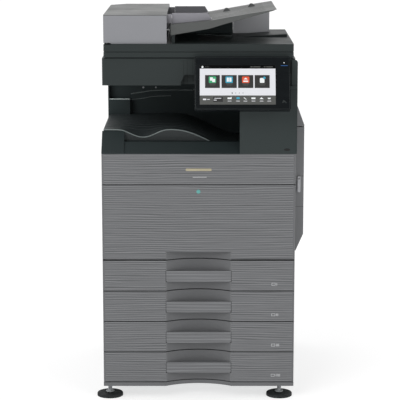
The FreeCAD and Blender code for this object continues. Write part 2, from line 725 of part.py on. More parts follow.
def make_hood():
    hood = prism("Z", hood_outline(0), (hood_low, feeder_high))
    top_z = feeder_high - 1
    top_edge = lambda middle, way: middle.z > top_z and abs(way.x) > 60 and middle.y < hood_front + 1
    hood = round_edges(hood, 4, top_edge)
    inner = prism("Z", hood_outline(hood_wall), (hood_low - 1, feeder_high - hood_wall))
    open_side = box((hood_right - 1, hood_right + 1), (hood_front + hood_wall, hood_back - hood_wall),
                    (hood_low - 1, feeder_high - hood_wall))
    hood = cut(hood, inner, open_side)
    apron = box((-feeder_half + rim_width, hood_right), (hood_front, hood_front + hood_wall),
                (feeder_deck + rest_gap, hood_low + 1))
    hood = hood.fuse(apron)
    wall_x = (-feeder_half, -feeder_half + hood_wall + 1)
    for y in ((18.5, 27.5), (435.5, 444.5)):
        hood = hood.cut(box(wall_x, y, (hood_low, hood_pivot_z + 9)))
    rib = box((-feeder_half + 1, hood_pivot_x + 9), (429.5, 433), (hood_low + 1, hood_pivot_z + 22))
    hood = hood.fuse(rib)
    hood = hood.fuse(rod("Y", (hood_pivot_x, hood_pivot_z), hood_pin, (432, 444)))
    hood = hood.fuse(rod("Y", (hood_pivot_x, hood_pivot_z), hood_pin, (hood_front + 1, 27)))
    write("feeder_cover", hood.removeSplitter())


def make_document_tray():
    tray = prism("Y", slope_top + slope_under, (slope_front, slope_back))
    under = [(x, z - slope_skin) for x, z in slope_top[:-1]]
    under.append((slope_under[0][0] - 8, slope_top[-1][1] - slope_skin - 3.4))
    under[0] = (slope_left - 1, slope_height(slope_left - 1) - slope_skin)
    hollow = under + [(slope_under[0][0] - 8, feeder_deck), (slope_left - 1, feeder_deck)]
    tray = tray.cut(prism("Y", hollow, (slope_front + slope_skin, slope_back - slope_skin)))
    near = slope_left + 194
    far = slope_left + 310
    stand = [(near, feeder_deck + rest_gap), (far, feeder_deck + rest_gap), (far, feeder_deck + 97),
             (near, feeder_deck + 79)]
    tray = tray.fuse(prism("Y", stand, (slope_back - 22, slope_back - 18)))
    inside = (slope_front + slope_skin, slope_back - slope_skin)
    for y in ((inside[0] - 1, inside[0] + 9), (inside[1] - 9, inside[1] + 1)):
        tray = tray.fuse(rod("Y", (slope_pivot_x, slope_pivot_z), slope_pin, y))
    write("document_tray", tray.removeSplitter())

    for name, plate_y, foot_y in (
            ("front", (guide_front, guide_front + guide_thick), (guide_front, guide_front + guide_foot)),
            ("rear", (guide_back - guide_thick, guide_back), (guide_back - guide_foot, guide_back))):
        runs = (4.0, 124.0, 112.0) if name == "front" else (9.0, 116.0, 104.0)
        left, right, tip = [slope_left + run for run in runs]
        low = slide_gap
        fence = prism("Y", [(left, slope_height(left) + low), (right, slope_height(right) + low),
                            (tip, guide_high), (left, guide_high)], plate_y)
        foot = prism("Y", [(left, slope_height(left) + low), (right, slope_height(right) + low),
                           (right, slope_height(right) + 3), (left, slope_height(left) + 3)], foot_y)
        write("document_guide_" + name, join(fence, foot))


# ---------------------------------------------------------------- control panel
def make_control_panel():
    x = (panel_left, panel_right)
    slab = box(x, (0, panel_thick), (-panel_length, 0))
    slab = round_edges(slab, 4, lambda middle, way: abs(way.y) > 1)
    window = box((screen_left, screen_right), (0, screen_thick), (-screen_bottom, -screen_top))
    slab = slab.cut(window)
    for piece in (slab, window):
        piece.rotate(Vector(0, 0, 0), Vector(1, 0, 0), -panel_tilt)
        piece.translate(Vector(0, panel_top_y, panel_top_z))
    middle = (panel_left + panel_right) / 2
    web_z = (panel_pivot_z - panel_ear + 0.5, panel_pivot_z + panel_ear - 0.5)
    for sign in (-1, 1):
        ear = sorted((middle + sign * 46, middle + sign * 56))
        web = box(ear, (-4, panel_pivot_y), web_z)
        slab = slab.fuse(web).fuse(rod("X", (panel_pivot_y, panel_pivot_z), panel_ear, ear))
        slab = slab.cut(rod("X", (panel_pivot_y, panel_pivot_z), panel_pin + fit, ear))
    write("control_panel", slab)
    write("touch_screen", window)


# ---------------------------------------------------------------- right side
def make_right_door():
    outline = [(door_inner, door_low), (door_inner + 2, door_low), (door_outer, taper_high),
               (door_outer, door_high), (door_inner, door_high)]
    door = prism("Y", outline, (door_front, door_back))
    wall = door_wall
    inside = [(door_inner - 1, door_low + wall), (door_inner + 0.5, door_low + wall),
              (door_outer - wall, taper_high + 1.5), (door_outer - wall, door_high - wall),
              (door_inner - 1, door_high - wall)]
    door = door.cut(prism("Y", inside, (door_front + wall, door_back - wall)))
    pocket_y = (bypass_y[0] - wall, bypass_y[1] + wall)
    pocket_z = (bypass_z[0] - wall, bypass_z[1] + wall)
    door = door.fuse(box((bypass_floor - wall, door_outer - 1), pocket_y, pocket_z))
    door = door.cut(box((bypass_floor, door_outer + 1), bypass_y, bypass_z))
    pin_place = (door_pivot_x, door_pivot_y)
    pivot_x = (bypass_x[0] + bypass_x[1]) / 2
    for y in (pocket_y[0], bypass_y[1]):
        door = door.cut(rod("Y", (pivot_x, bypass_pivot_z), bypass_pin + fit, (y, y + wall)))
    notch_high = taper_high - 6
    notch_y = (door_pivot_y - 12, door_back + 1)
    door = door.cut(box((door_inner - 1, door_outer + 1), notch_y, (door_low - 1, notch_high)))
    block = box((door_inner, door_outer), (door_pivot_y - 12, door_back), (notch_high, notch_high + 12))
    door = door.fuse(block)
    door = door.fuse(rod("Z", pin_place, door_pin, (taper_high - 17, notch_high + 2)))
    top_block = box((door_inner, door_outer), (door_pivot_y - 12, door_back), (door_high - 12, door_high))
    door = door.fuse(top_block)
    door = door.fuse(rod("Z", pin_place, door_pin, (door_high - 2, slant_low + 8)))
    pin_y = (door_front - lever_thick - 1, door_front + 1)
    door = door.fuse(rod("Y", (lever_x, lever_pivot), lever_pin, pin_y))
    write("right_door", door.removeSplitter())

    lever_y = (door_front - lever_thick - rest_gap, door_front - rest_gap)
    lever = box((lever_x - lever_half, lever_x + lever_half), lever_y, lever_z)
    lever = round_edges(lever, 3, lambda middle, way: abs(way.y) > 1)
    write("door_lever", lever.cut(rod("Y", (lever_x, lever_pivot), lever_pin + fit, lever_y)))

    tray_y = (bypass_y[0] + bypass_gap, bypass_y[1] - bypass_gap)
    tray = box(bypass_x, tray_y, (bypass_z[0] + bypass_gap, bypass_z[1] - bypass_gap))
    grip = box((bypass_x[0], bypass_x[1]), (285, 325), (bypass_z[1] - bypass_gap - 12, bypass_z[1]))
    tray = tray.cut(grip)
    span = (bypass_y[0] - wall + 0.5, bypass_y[1] + wall - 0.5)
    tray = tray.fuse(rod("Y", (pivot_x, bypass_pivot_z), bypass_pin, span))
    write("bypass_tray", tray.removeSplitter())


def make_slanted_cover():
    outline = [(column_right, slant_low), (door_outer, slant_low), (door_outer, slant_low + 3),
               (column_right + 3, slant_high), (column_right, slant_high)]
    cover = prism("Y", outline, (slant_front, slant_back))
    inside = [(column_right - 1, slant_low + 8), (door_outer - 6.5, slant_low + 8),
              (column_right + 1, slant_high - 7), (column_right - 1, slant_high - 7)]
    cover = cover.cut(prism("Y", inside, (slant_front + 4, slant_back - 4)))
    cover = cover.cut(rod("Z", (door_pivot_x, door_pivot_y), door_pin + fit, (slant_low - 1, slant_low + 9)))
    write("upper_right_cover", cover)


# ---------------------------------------------------------------- inside
def make_engine():
    span = (inner_y + plate, rear_y)
    write("laser_unit", box(belt_x, (60, rear_y - 40), (deck_high, laser_z)))
    toners = []
    drums = []
    for x in unit_x:
        bottle = rod("Y", (x, toner_z), toner_radius, (toner_front, rear_y))
        toners.append(bottle)
        unit = box((x - drum_half, x + drum_half), span, drum_z)
        drums.append(round_edges(unit, 8, lambda middle, way: abs(way.y) > 1))
    write("toner_cartridges", *toners)
    write("drum_units", *drums)
    belt = box(belt_x, span, belt_z)
    write("transfer_belt_unit", round_edges(belt, 10, lambda middle, way: abs(way.y) > 1))
    fuser = box(fuser_x, span, fuser_z)
    write("fuser_unit", round_edges(fuser, 6, lambda middle, way: abs(way.y) > 1))
    back = (rear_y + plate, body_depth - cover_wall - 4)
    write("power_supply", box((53 - body_half, inlet_x - 50), back, (90, 260)))
    socket_x = (inlet_x - inlet_half_x, inlet_x + inlet_half_x)
    socket_z = (inlet_z - inlet_half_z, inlet_z + inlet_half_z)
    inlet = box(socket_x, (rear_y + plate, body_depth), socket_z)
    flange = box((socket_x[0] - 8, socket_x[1] + 8), (body_depth, body_depth + flange_thick),
                 (socket_z[0] - 3, socket_z[1] + 3))
    hollow = box((socket_x[0] + 3, socket_x[1] - 3), (body_depth - 15, body_depth + flange_thick),
                 (socket_z[0] + 3, socket_z[1] - 3))
    inlet = inlet.fuse(flange).cut(hollow)
    for x in (-7, 0, 7):
        pin_x = (inlet_x + x - 1, inlet_x + x + 1)
        pin = box(pin_x, (body_depth - 16, body_depth - 1), (inlet_z - 2, inlet_z + 2))
        inlet = inlet.fuse(pin)
    write("mains_inlet", inlet.removeSplitter())


make_base()
make_frames()
make_casters()
make_feet()
for drawer_number in range(1, drawer_count + 1):
    make_drawer(drawer_number)
make_side_covers()
make_front_cover()
make_bay()
make_column()
make_scanner()
make_feeder_base()
make_hood()
make_document_tray()
make_control_panel()
make_right_door()
make_slanted_cover()
make_engine()
print("files", len(os.listdir("parts")), "shift", shift)
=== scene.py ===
import json
import math

import bmesh
import bpy
from mathutils import Matrix, Vector


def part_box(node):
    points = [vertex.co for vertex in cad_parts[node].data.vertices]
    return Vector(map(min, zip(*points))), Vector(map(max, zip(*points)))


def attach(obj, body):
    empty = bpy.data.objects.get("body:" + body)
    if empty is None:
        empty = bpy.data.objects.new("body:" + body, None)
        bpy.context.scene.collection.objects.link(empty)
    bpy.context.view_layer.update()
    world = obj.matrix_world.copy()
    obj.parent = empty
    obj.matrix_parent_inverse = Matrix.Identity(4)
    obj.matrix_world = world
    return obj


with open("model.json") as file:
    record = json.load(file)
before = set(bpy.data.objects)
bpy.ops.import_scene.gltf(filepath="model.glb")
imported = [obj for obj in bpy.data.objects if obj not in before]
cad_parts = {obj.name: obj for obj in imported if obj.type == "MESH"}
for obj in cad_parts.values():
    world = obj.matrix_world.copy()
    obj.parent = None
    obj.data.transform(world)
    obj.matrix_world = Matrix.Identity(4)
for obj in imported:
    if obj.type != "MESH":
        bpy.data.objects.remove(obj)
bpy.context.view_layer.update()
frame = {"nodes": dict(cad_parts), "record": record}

cadNodes = frame["nodes"]
slotOfNode = {part["node"]: part["material_slot"] for part in frame["record"]["subparts"]}
print("frame loaded:", len(cadNodes), "nodes")

coverLow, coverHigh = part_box("front_cover")
frontY = coverLow.y                        # the plane of all the fronts
middleX = (coverLow.x + coverHigh.x) / 2
halfWidth = (coverHigh.x - coverLow.x) / 2


def fromFront(x, y, z):
    # millimetres from the middle of the front plane, at floor level
    return Vector((middleX + x / 1000, frontY + y / 1000, z / 1000))


def tone(red, green, blue):
    # a screen colour, 0 to 255, as the linear colour that the shaders take
    def linear(value):
        value /= 255
        return value / 12.92 if value <= 0.04045 else ((value + 0.055) / 1.055) ** 2.4
    return (linear(red), linear(green), linear(blue), 1.0)


def scaled(colour, factor):
    return tuple(min(1.0, c * factor) for c in colour[:3]) + (1.0,)


# ---- shader helpers

def setSocket(tree, socket, value):
    if isinstance(value, bpy.types.NodeSocket):
        tree.links.new(value, socket)
    else:
        socket.default_value = value


def addNode(tree, kind, values=None, **properties):
    made = tree.nodes.new(kind)
    for key, value in properties.items():
        setattr(made, key, value)
    for key, value in (values or {}).items():
        setSocket(tree, made.inputs[key], value)
    return made


def calc(tree, operation, *values, clamp=False):
    made = addNode(tree, "ShaderNodeMath", operation=operation, use_clamp=clamp)
    for socket, value in zip(made.inputs, values):
        setSocket(tree, socket, value)
    return made.outputs[0]


def remap(tree, value, low, high, toLow, toHigh, smooth=False):
    made = addNode(tree, "ShaderNodeMapRange", interpolation_type="SMOOTHSTEP" if smooth else "LINEAR")
    for socket, given in zip(made.inputs, (value, low, high, toLow, toHigh)):
        setSocket(tree, socket, given)
    return made.outputs[0]


def noise(tree, point, scale, detail=2.0, stretch=None):
    if stretch:
        point = addNode(tree, "ShaderNodeMapping", {"Vector": point, "Scale": stretch}).outputs[0]
    return addNode(tree, "ShaderNodeTexNoise",
                   {"Vector": point, "Scale": scale, "Detail": detail}).outputs[0]


def blendColours(tree, share, first, second):
    made = addNode(tree, "ShaderNodeMix", data_type="RGBA")
    setSocket(tree, made.inputs[0], share)
    setSocket(tree, made.inputs[6], first)
    setSocket(tree, made.inputs[7], second)
    return made.outputs[2]


def startMaterial(name, settings):
    material = bpy.data.materials.new(name)
    material.use_nodes = True
    tree = material.node_tree
    shader = tree.nodes["Principled BSDF"]
    for key, value in settings.items():
        shader.inputs[key].default_value = value
    point = addNode(tree, "ShaderNodeTexCoord").outputs["Object"]
    return material, tree, shader, point


def axisOf(tree, vector, axis):
    return addNode(tree, "ShaderNodeSeparateXYZ", {0: vector}).outputs[axis]


def faceNormal(tree):
    return addNode(tree, "ShaderNodeNewGeometry").outputs["Normal"]


def softEdges(tree, radius):
    # a rounded normal for the edges, and how near an edge a point is
    bevel = addNode(tree, "ShaderNodeBevel", {"Radius": radius}, samples=4).outputs[0]
    flat = faceNormal(tree)
    turn = addNode(tree, "ShaderNodeVectorMath", {0: bevel, 1: flat},
        operation="DOT_PRODUCT").outputs["Value"]
    return bevel, remap(tree, turn, 0.99, 0.8, 0.0, 1.0, True)


def addRelief(tree, shader, strength, distance, height, bevel):
    bump = addNode(tree, "ShaderNodeBump", {
        "Strength": strength, "Distance": distance, "Height": height, "Normal": bevel})
    tree.links.new(bump.outputs[0], shader.inputs["Normal"])


def grooveAt(tree, coordinate, place, half):
    away = calc(tree, "ABSOLUTE", calc(tree, "SUBTRACT", coordinate, place))
    return remap(tree, away, half * 0.6, half * 1.3, 1.0, 0.0, True)


# ---- studio: floor, light and camera

studio = {
    "floorTone": (0.42, 0.42, 0.42, 1.0),
    "floorGlow": 0.62,         # keeps the floor white close to the machine
    "floorSize": 60.0,
    "skyStrength": 1.09,
    "cardAim": (0.0, -0.80, 0.60),
    "cardTone": 0.12,
    "keyPower": 112.0,
    "fillPower": 26.0,
    "cameraPlace": (0.0007, -5.1426, 1.545),
    "cameraTilt": 79.25,
    "lens": 147.15,
}


def buildStudio():
    scene = bpy.context.scene
    scene.view_settings.view_transform = "Standard"
    world = bpy.data.worlds.new("studioSky")
    world.use_nodes = True
    sky = world.node_tree
    sky.nodes["Background"].inputs["Strength"].default_value = studio["skyStrength"]
    # a dark card high in front keeps the glossy panel dark
    aim = addNode(sky, "ShaderNodeTexCoord").outputs["Generated"]
    near = addNode(sky, "ShaderNodeVectorMath", {0: aim, 1: studio["cardAim"]},
        operation="DOT_PRODUCT").outputs["Value"]
    card = remap(sky, near, 0.80, 0.93, 1.0, studio["cardTone"], True)
    sky.links.new(card, sky.nodes["Background"].inputs["Color"])
    scene.world = world

    half = studio["floorSize"] / 2
    mesh = bpy.data.meshes.new("floor")
    mesh.from_pydata([(-half, -half, 0), (half, -half, 0), (half, half, 0), (-half, half, 0)], [],
        [(0, 1, 2, 3)])
    floor = bpy.data.objects.new("floor", mesh)
    scene.collection.objects.link(floor)
    material = bpy.data.materials.new("paleFloor")
    material.use_nodes = True
    shader = material.node_tree.nodes["Principled BSDF"]
    shader.inputs["Base Color"].default_value = studio["floorTone"]
    shader.inputs["Emission Color"].default_value = (1.0, 1.0, 1.0, 1.0)
    shader.inputs["Emission Strength"].default_value = studio["floorGlow"]
    shader.inputs["Roughness"].default_value = 0.9
    shader.inputs["Specular IOR Level"].default_value = 0.1
    mesh.materials.append(material)

    for name, place, aim, size, power in (
            ("keyLight", (-2.4, -4.2, 3.9), (0, -0.2, 0.7), 3.0, studio["keyPower"]),
            ("fillLight", (3.4, -3.6, 2.2), (0, -0.2, 0.6), 3.0, studio["fillPower"])):
        lamp = bpy.data.lights.new(name, "AREA")
        lamp.size = size
        lamp.energy = power
        light = bpy.data.objects.new(name, lamp)
        light.location = place
        light.rotation_euler = (Vector(aim) - Vector(place)).to_track_quat("-Z", "Y").to_euler()
        scene.collection.objects.link(light)

    lens = bpy.data.cameras.new("camera")
    lens.lens = studio["lens"]
    lens.sensor_width = 36.0
    lens.clip_end = 100.0
    camera = bpy.data.objects.new("camera", lens)
    camera.location = studio["cameraPlace"]
    camera.rotation_euler = (math.radians(studio["cameraTilt"]), 0, 0)
    scene.collection.objects.link(camera)
    scene.camera = camera


buildStudio()
print("studio ready")


# ---- materials

def mouldedPlastic(name, look):
    # grained moulding: look holds tone, and if wanted grain, depth, rough, mottle, edge, seams, zones; edge
    # sets how much the edges are lightened as a painted highlight
    base = look["tone"]
    rough = look.get("rough", 0.5)
    material, tree, shader, point = startMaterial(name, {"Specular IOR Level": look.get("shine", 0.4)})
    cloudy = noise(tree, point, 3.5, 3.0)
    speck = noise(tree, point, 1.0 / look.get("grain", 0.0009), 2.0)
    share = calc(tree, "ADD", calc(tree, "MULTIPLY", cloudy, 0.6), calc(tree, "MULTIPLY", speck, 0.4))
    mottle = look.get("mottle", 0.07)
    share = remap(tree, share, 0.35, 0.65, 0.0, 1.0)
    colour = blendColours(tree, share, scaled(base, 1 - mottle), scaled(base, 1 + mottle))
    for axis, low, high, zoneTone in look.get("zones", ()):
        # a second tone on one side of a level, along one axis
        split = axisOf(tree, point, axis)
        inside = remap(tree, split, low, high, 0.0, 1.0, True)
        colour = blendColours(tree, inside, colour, blendColours(
            tree, share, scaled(zoneTone, 1 - mottle), scaled(zoneTone, 1 + mottle)))
    # painted shade: faces turned upward take a darker tone, as if lit mainly from the front
    if look.get("paintedShadeTopTone"):
        upward = axisOf(tree, faceNormal(tree), 2)
        colour = blendColours(tree, remap(tree, upward, 0.5, 0.6, 0.0, 1.0), colour, blendColours(
            tree, share, scaled(look["paintedShadeTopTone"], 1 - mottle), scaled(look["paintedShadeTopTone"], 1 + mottle)))
    if look.get("wall"):
        # upright faces behind a given depth carry a lighter tone: their own grey, raised further as painted
        # light against the shadow they sit in
        facing = axisOf(tree, faceNormal(tree), 1)
        depth = axisOf(tree, point, 1)
        behind = calc(tree, "MULTIPLY", calc(tree, "GREATER_THAN", depth, look["wall"][0]),
            calc(tree, "LESS_THAN", facing, -0.5))
        colour = blendColours(tree, behind, colour, look["wall"][1])
    bevel, nearEdge = softEdges(tree, look.get("round", 0.0012))
    # painted highlight: edges are lightened in patches, where rounded edges catch the light
    paintedEdgeHighlight = calc(tree, "MULTIPLY", nearEdge,
        calc(tree, "MULTIPLY", noise(tree, point, 40.0, 3.0), look.get("edge", 0.5)))
    colour = blendColours(tree, paintedEdgeHighlight, colour, scaled(base, look.get("edgeTone", 1.5)))
    height = calc(tree, "MULTIPLY", speck, look.get("depth", 1.0))
    if look.get("seams"):
        axes = addNode(tree, "ShaderNodeSeparateXYZ", {0: point}).outputs
        for axis, place, half in look["seams"]:
            line = grooveAt(tree, axes[axis], place, half)
            colour = blendColours(tree, line, colour, scaled(base, 0.25))
            height = calc(tree, "SUBTRACT", height, calc(tree, "MULTIPLY", line, 6.0))
    tree.links.new(colour, shader.inputs["Base Color"])
    smudge = noise(tree, point, 9.0, 4.0)
    tree.links.new(remap(tree, smudge, 0.3, 0.7, rough - 0.06, rough + 0.08), shader.inputs["Roughness"])
    addRelief(tree, shader, 0.35, 0.0001, height, bevel)
    return material


rippleLook = {
    "pitch": 0.0071,        # from one engraved line to the next
    "wander": 1.5,          # how far the lines drift, in pitches
    "contrast": 0.29,
    "seamShade": 0.96,
    "margin": 0.0065,       # plain strip at both ends
}


def engravedPlastic(name, look):
    # fronts with wavy engraved lines across their flat face, plain inside the scoop
    base = look["tone"]
    material, tree, shader, point = startMaterial(name, {"Specular IOR Level": 0.35})
    axes = addNode(tree, "ShaderNodeSeparateXYZ", {0: point}).outputs
    wander = calc(tree, "SUBTRACT", noise(tree, point, 1.0, 1.0, (2.2, 0.0, 7.0)), 0.5)
    shiver = calc(tree, "SUBTRACT", noise(tree, point, 1.0, 1.0, (5.0, 0.0, 70.0)), 0.5)
    phase = calc(tree, "DIVIDE", axes[2], look["pitch"])
    phase = calc(tree, "MULTIPLY_ADD", wander, look["wander"] * 1.1, phase)
    phase = calc(tree, "MULTIPLY_ADD", shiver, look["wander"] * 0.55, phase)
    wave = calc(tree, "SINE", calc(tree, "MULTIPLY", phase, 2 * math.pi))
    cut = calc(tree, "POWER", remap(tree, wave, -1.0, 1.0, 0.0, 1.0), 1.7)
    fade = remap(tree, noise(tree, point, 1.0, 2.0, (4.2, 0.0, 90.0)), 0.36, 0.6, 0.1, 1.0, True)
    fine = calc(tree, "SINE",
        calc(tree, "MULTIPLY", calc(tree, "MULTIPLY_ADD", phase, 2.0, shiver), 2 * math.pi))
    fine = remap(tree, fine, -1.0, 1.0, 0.0, 0.16)
    lines = calc(tree, "ADD", calc(tree, "MULTIPLY", cut, fade), fine)

    flatFace = remap(tree, axes[1], frontY + 0.0004, frontY + 0.0009, 1.0, 0.0, True)
    sideways = calc(tree, "ABSOLUTE", calc(tree, "SUBTRACT", axes[0], middleX))
    strip = halfWidth - look["margin"]
    onFace = calc(tree, "MULTIPLY", flatFace,
        remap(tree, sideways, strip - 0.0006, strip + 0.0006, 1.0, 0.0, True))
    lines = calc(tree, "MULTIPLY", lines, onFace)

    cloudy = noise(tree, point, 2.5, 3.0)
    speck = noise(tree, point, 1100.0, 2.0)
    share = remap(tree, calc(tree, "ADD", cloudy, calc(tree, "MULTIPLY", speck, 0.5)), 0.5, 1.0, 0.0, 1.0)
    colour = blendColours(tree, share, scaled(base, 0.96), scaled(base, 1.05))
    # painted shade inside the scoop recess
    deep = remap(tree, axes[1], frontY + 0.0007, frontY + 0.004, 0.0, 1.0, True)
    colour = blendColours(tree, deep, colour, scaled(base, look["scoopShade"]))
    # painted shade: the engraved grooves are darkened in colour as well as cut in relief
    colour = blendColours(tree, calc(tree, "MULTIPLY", lines, look["contrast"] * 2.6, clamp=True), colour,
        scaled(base, 0.52))
    # painted highlight: the crests between the grooves are lightened
    ridge = calc(tree, "POWER", remap(tree, wave, -1.0, 1.0, 1.0, 0.0), 3.0)
    ridge = calc(tree, "MULTIPLY", calc(tree, "MULTIPLY", ridge, fade), calc(tree, "MULTIPLY", onFace, 0.6))
    colour = blendColours(tree, ridge, colour, scaled(base, 1.7))
    rim = calc(tree, "MULTIPLY", flatFace, remap(tree, sideways, strip, strip + 0.0012, 0.0, 1.0, True))
    colour = blendColours(tree, calc(tree, "MULTIPLY", rim, 0.45), colour, scaled(base, 0.62))
    if look.get("ends"):
        outer = remap(tree, sideways, look["ends"], look["ends"] + 0.0006, 0.0, 0.85)
        colour = blendColours(tree, outer, colour, scaled(base, 0.1))
    # level edges lie in the seams between the fronts and get painted shade, dark like the gaps between the
    # drawers
    level = axisOf(tree, faceNormal(tree), 2)
    level = remap(tree, calc(tree, "ABSOLUTE", level), 0.6, 0.85, 0.0, look["seamShade"])
    colour = blendColours(tree, level, colour, scaled(base, 0.05))
    tree.links.new(colour, shader.inputs["Base Color"])
    tree.links.new(remap(tree, speck, 0.3, 0.7, 0.42, 0.56), shader.inputs["Roughness"])
    bevel = softEdges(tree, 0.0010)[0]
    height = calc(tree, "MULTIPLY_ADD", lines, -1.0, calc(tree, "MULTIPLY", speck, 0.12))
    addRelief(tree, shader, 0.8, 0.00035, height, bevel)
    return material


def glossPlastic(name, look):
    # smooth shiny moulding with faint wiping marks
    material, tree, shader, point = startMaterial(name, {
        "Specular IOR Level": look.get("shine", 0.25), "Coat Weight": look.get("coat", 0.0),
            "Coat Roughness": 0.06})
    wipe = noise(tree, point, 1.0, 4.0, (14.0, 30.0, 60.0))
    prints = noise(tree, point, 55.0, 3.0)
    tree.links.new(blendColours(tree, wipe, scaled(look["tone"], 0.85), scaled(look["tone"], 1.2)),
        shader.inputs["Base Color"])
    rough = calc(tree, "MULTIPLY_ADD", wipe, 0.12, calc(tree, "MULTIPLY", prints, 0.08))
    tree.links.new(calc(tree, "ADD", rough, look.get("rough", 0.08)), shader.inputs["Roughness"])
    bevel = softEdges(tree, 0.0012)[0]
    tree.links.new(bevel, shader.inputs["Normal"])
    return material


def platedSteel(name, look):
    # zinc spangle over sheet steel, with fine rolling lines
    material, tree, shader, point = startMaterial(name, {"Metallic": 0.85})
    spangle = addNode(tree, "ShaderNodeTexVoronoi",
        {"Vector": point, "Scale": look.get("spangle", 90.0)}).outputs["Color"]
    grey = addNode(tree, "ShaderNodeSeparateColor", {0: spangle}).outputs[0]
    lines = noise(tree, point, 1.0, 2.0, (900.0, 30.0, 30.0))
    colour = blendColours(tree, grey, scaled(look["tone"], 0.86), scaled(look["tone"], 1.12))
    tree.links.new(colour, shader.inputs["Base Color"])
    tree.links.new(remap(tree, grey, 0.0, 1.0, 0.34, 0.5), shader.inputs["Roughness"])
    bevel = softEdges(tree, 0.0006)[0]
    addRelief(tree, shader, 0.25, 0.0001, lines, bevel)
    return material


def mattRubber(name, look):
    # dark rubber, dusty and slightly granular
    material, tree, shader, point = startMaterial(name, {"Specular IOR Level": 0.3})
    crumb = noise(tree, point, look.get("crumb", 420.0), 3.0)
    dust = noise(tree, point, 60.0, 4.0)
    colour = blendColours(tree, remap(tree, crumb, 0.42, 0.66, 0.0, 1.0), scaled(look["tone"], 0.75),
        scaled(look["tone"], 1.5))
    colour = blendColours(tree, remap(tree, dust, 0.5, 0.8, 0.0, 0.35), colour, scaled(look["tone"], 2.6))
    if look.get("stem"):
        # above a level the part is a bright turned stem
        high = axisOf(tree, point, 2)
        stem = remap(tree, high, look["stem"][0], look["stem"][0] + 0.0004, 0.0, 1.0)
        colour = blendColours(tree, stem, colour, look["stem"][1])
    tree.links.new(colour, shader.inputs["Base Color"])
    tree.links.new(remap(tree, dust, 0.3, 0.7, 0.62, 0.85), shader.inputs["Roughness"])
    bevel = softEdges(tree, 0.0010)[0]
    addRelief(tree, shader, 0.5, 0.0003, crumb, bevel)
    return material


def foamPad(name, look):
    material, tree, shader, point = startMaterial(name, {"Roughness": 0.75, "Sheen Weight": 0.2})
    pores = addNode(tree, "ShaderNodeTexVoronoi", {"Vector": point, "Scale": 700.0}).outputs["Distance"]
    stain = noise(tree, point, 8.0, 4.0)
    colour = blendColours(tree, stain, scaled(look["tone"], 0.94), scaled(look["tone"], 1.03))
    tree.links.new(colour, shader.inputs["Base Color"])
    bump = addNode(tree, "ShaderNodeBump", {"Strength": 0.3, "Distance": 0.0002, "Height": pores})
    tree.links.new(bump.outputs[0], shader.inputs["Normal"])
    return material


def clearGlass(name, look):
    material, tree, shader, point = startMaterial(name, {"Transmission Weight": 0.85, "IOR": 1.5})
    haze = noise(tree, point, 12.0, 4.0)
    tree.links.new(blendColours(tree, haze, scaled(look["tone"], 0.97), look["tone"]),
        shader.inputs["Base Color"])
    tree.links.new(remap(tree, haze, 0.3, 0.7, 0.02, 0.06), shader.inputs["Roughness"])
    return material


def litShape(name, look):
    # a glowing part of the display, with the faint grid of its dots
    material, tree, shader, point = startMaterial(name,
        {"Roughness": 0.2, "Emission Strength": look.get("glow", 0.8)})
    grid = noise(tree, point, 900.0, 1.0)
    slow = noise(tree, point, 14.0, 2.0)
    share = calc(tree, "MULTIPLY_ADD", grid, 0.4, calc(tree, "MULTIPLY", slow, 0.6))
    colour = blendColours(tree, share, scaled(look["tone"], 0.93), scaled(look["tone"], 1.04))
    tree.links.new(colour, shader.inputs["Emission Color"])
    dark = blendColours(tree, share, scaled(look["tone"], 0.25), scaled(look["tone"], 0.3))
    tree.links.new(dark, shader.inputs["Base Color"])
    return material


def tonerBottle(name, look):
    # dark bottles whose front caps carry the four toner colours
    material, tree, shader, point = startMaterial(name, {"Coat Weight": 0.3})
    axes = addNode(tree, "ShaderNodeSeparateXYZ", {0: point}).outputs
    low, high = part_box("toner_cartridges")
    step = (high.x - low.x - 0.06) / 3
    colour = blendColours(tree, noise(tree, point, 30.0, 3.0), scaled(look["tone"], 0.85),
        scaled(look["tone"], 1.2))
    cap = remap(tree, axes[1], low.y + 0.016, low.y + 0.018, 1.0, 0.0)
    for place, capTone in enumerate(look["caps"]):
        centre = low.x + 0.03 + place * step
        away = calc(tree, "ABSOLUTE", calc(tree, "SUBTRACT", axes[0], centre))
        mine = calc(tree, "MULTIPLY", cap, remap(tree, away, step / 2 - 0.001, step / 2, 1.0, 0.0))
        colour = blendColours(tree, mine, colour, capTone)
    tree.links.new(colour, shader.inputs["Base Color"])
    tree.links.new(remap(tree, noise(tree, point, 20.0, 3.0), 0.3, 0.7, 0.25, 0.45),
        shader.inputs["Roughness"])
    bevel = softEdges(tree, 0.0015)[0]
    tree.links.new(bevel, shader.inputs["Normal"])
    return material


def ribbedTray(name, look):
    # the dark exit tray: fine level lines on its front wall
    base = look["tone"]
    material, tree, shader, point = startMaterial(name, {"Specular IOR Level": 0.35})
    axes = addNode(tree, "ShaderNodeSeparateXYZ", {0: point}).outputs
    speck = noise(tree, point, 1100.0, 2.0)
    cloudy = noise(tree, point, 4.0, 3.0)
    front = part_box("exit_tray")[0].y
    onFront = remap(tree, axes[1], front + 0.0005, front + 0.001, 1.0, 0.0)
    line = calc(tree, "SINE", calc(tree, "MULTIPLY", axes[2], 2 * math.pi / 0.0042))
    line = calc(tree, "MULTIPLY", remap(tree, line, 0.0, 1.0, 0.0, 1.0), onFront)
    colour = blendColours(tree, cloudy, scaled(base, 0.9), scaled(base, 1.12))
    # painted shade: the front wall is darker, and its fine lines darker still, on top of their relief
    colour = blendColours(tree, onFront, colour, scaled(base, look["frontShade"]))
    colour = blendColours(tree, calc(tree, "MULTIPLY", line, 0.6), colour, scaled(base, 0.5))
    tree.links.new(colour, shader.inputs["Base Color"])
    tree.links.new(remap(tree, speck, 0.3, 0.7, 0.45, 0.6), shader.inputs["Roughness"])
    bevel = softEdges(tree, 0.0012)[0]
    height = calc(tree, "MULTIPLY_ADD", line, -1.0, calc(tree, "MULTIPLY", speck, 0.2))
    addRelief(tree, shader, 0.6, 0.0003, height, bevel)
    return material


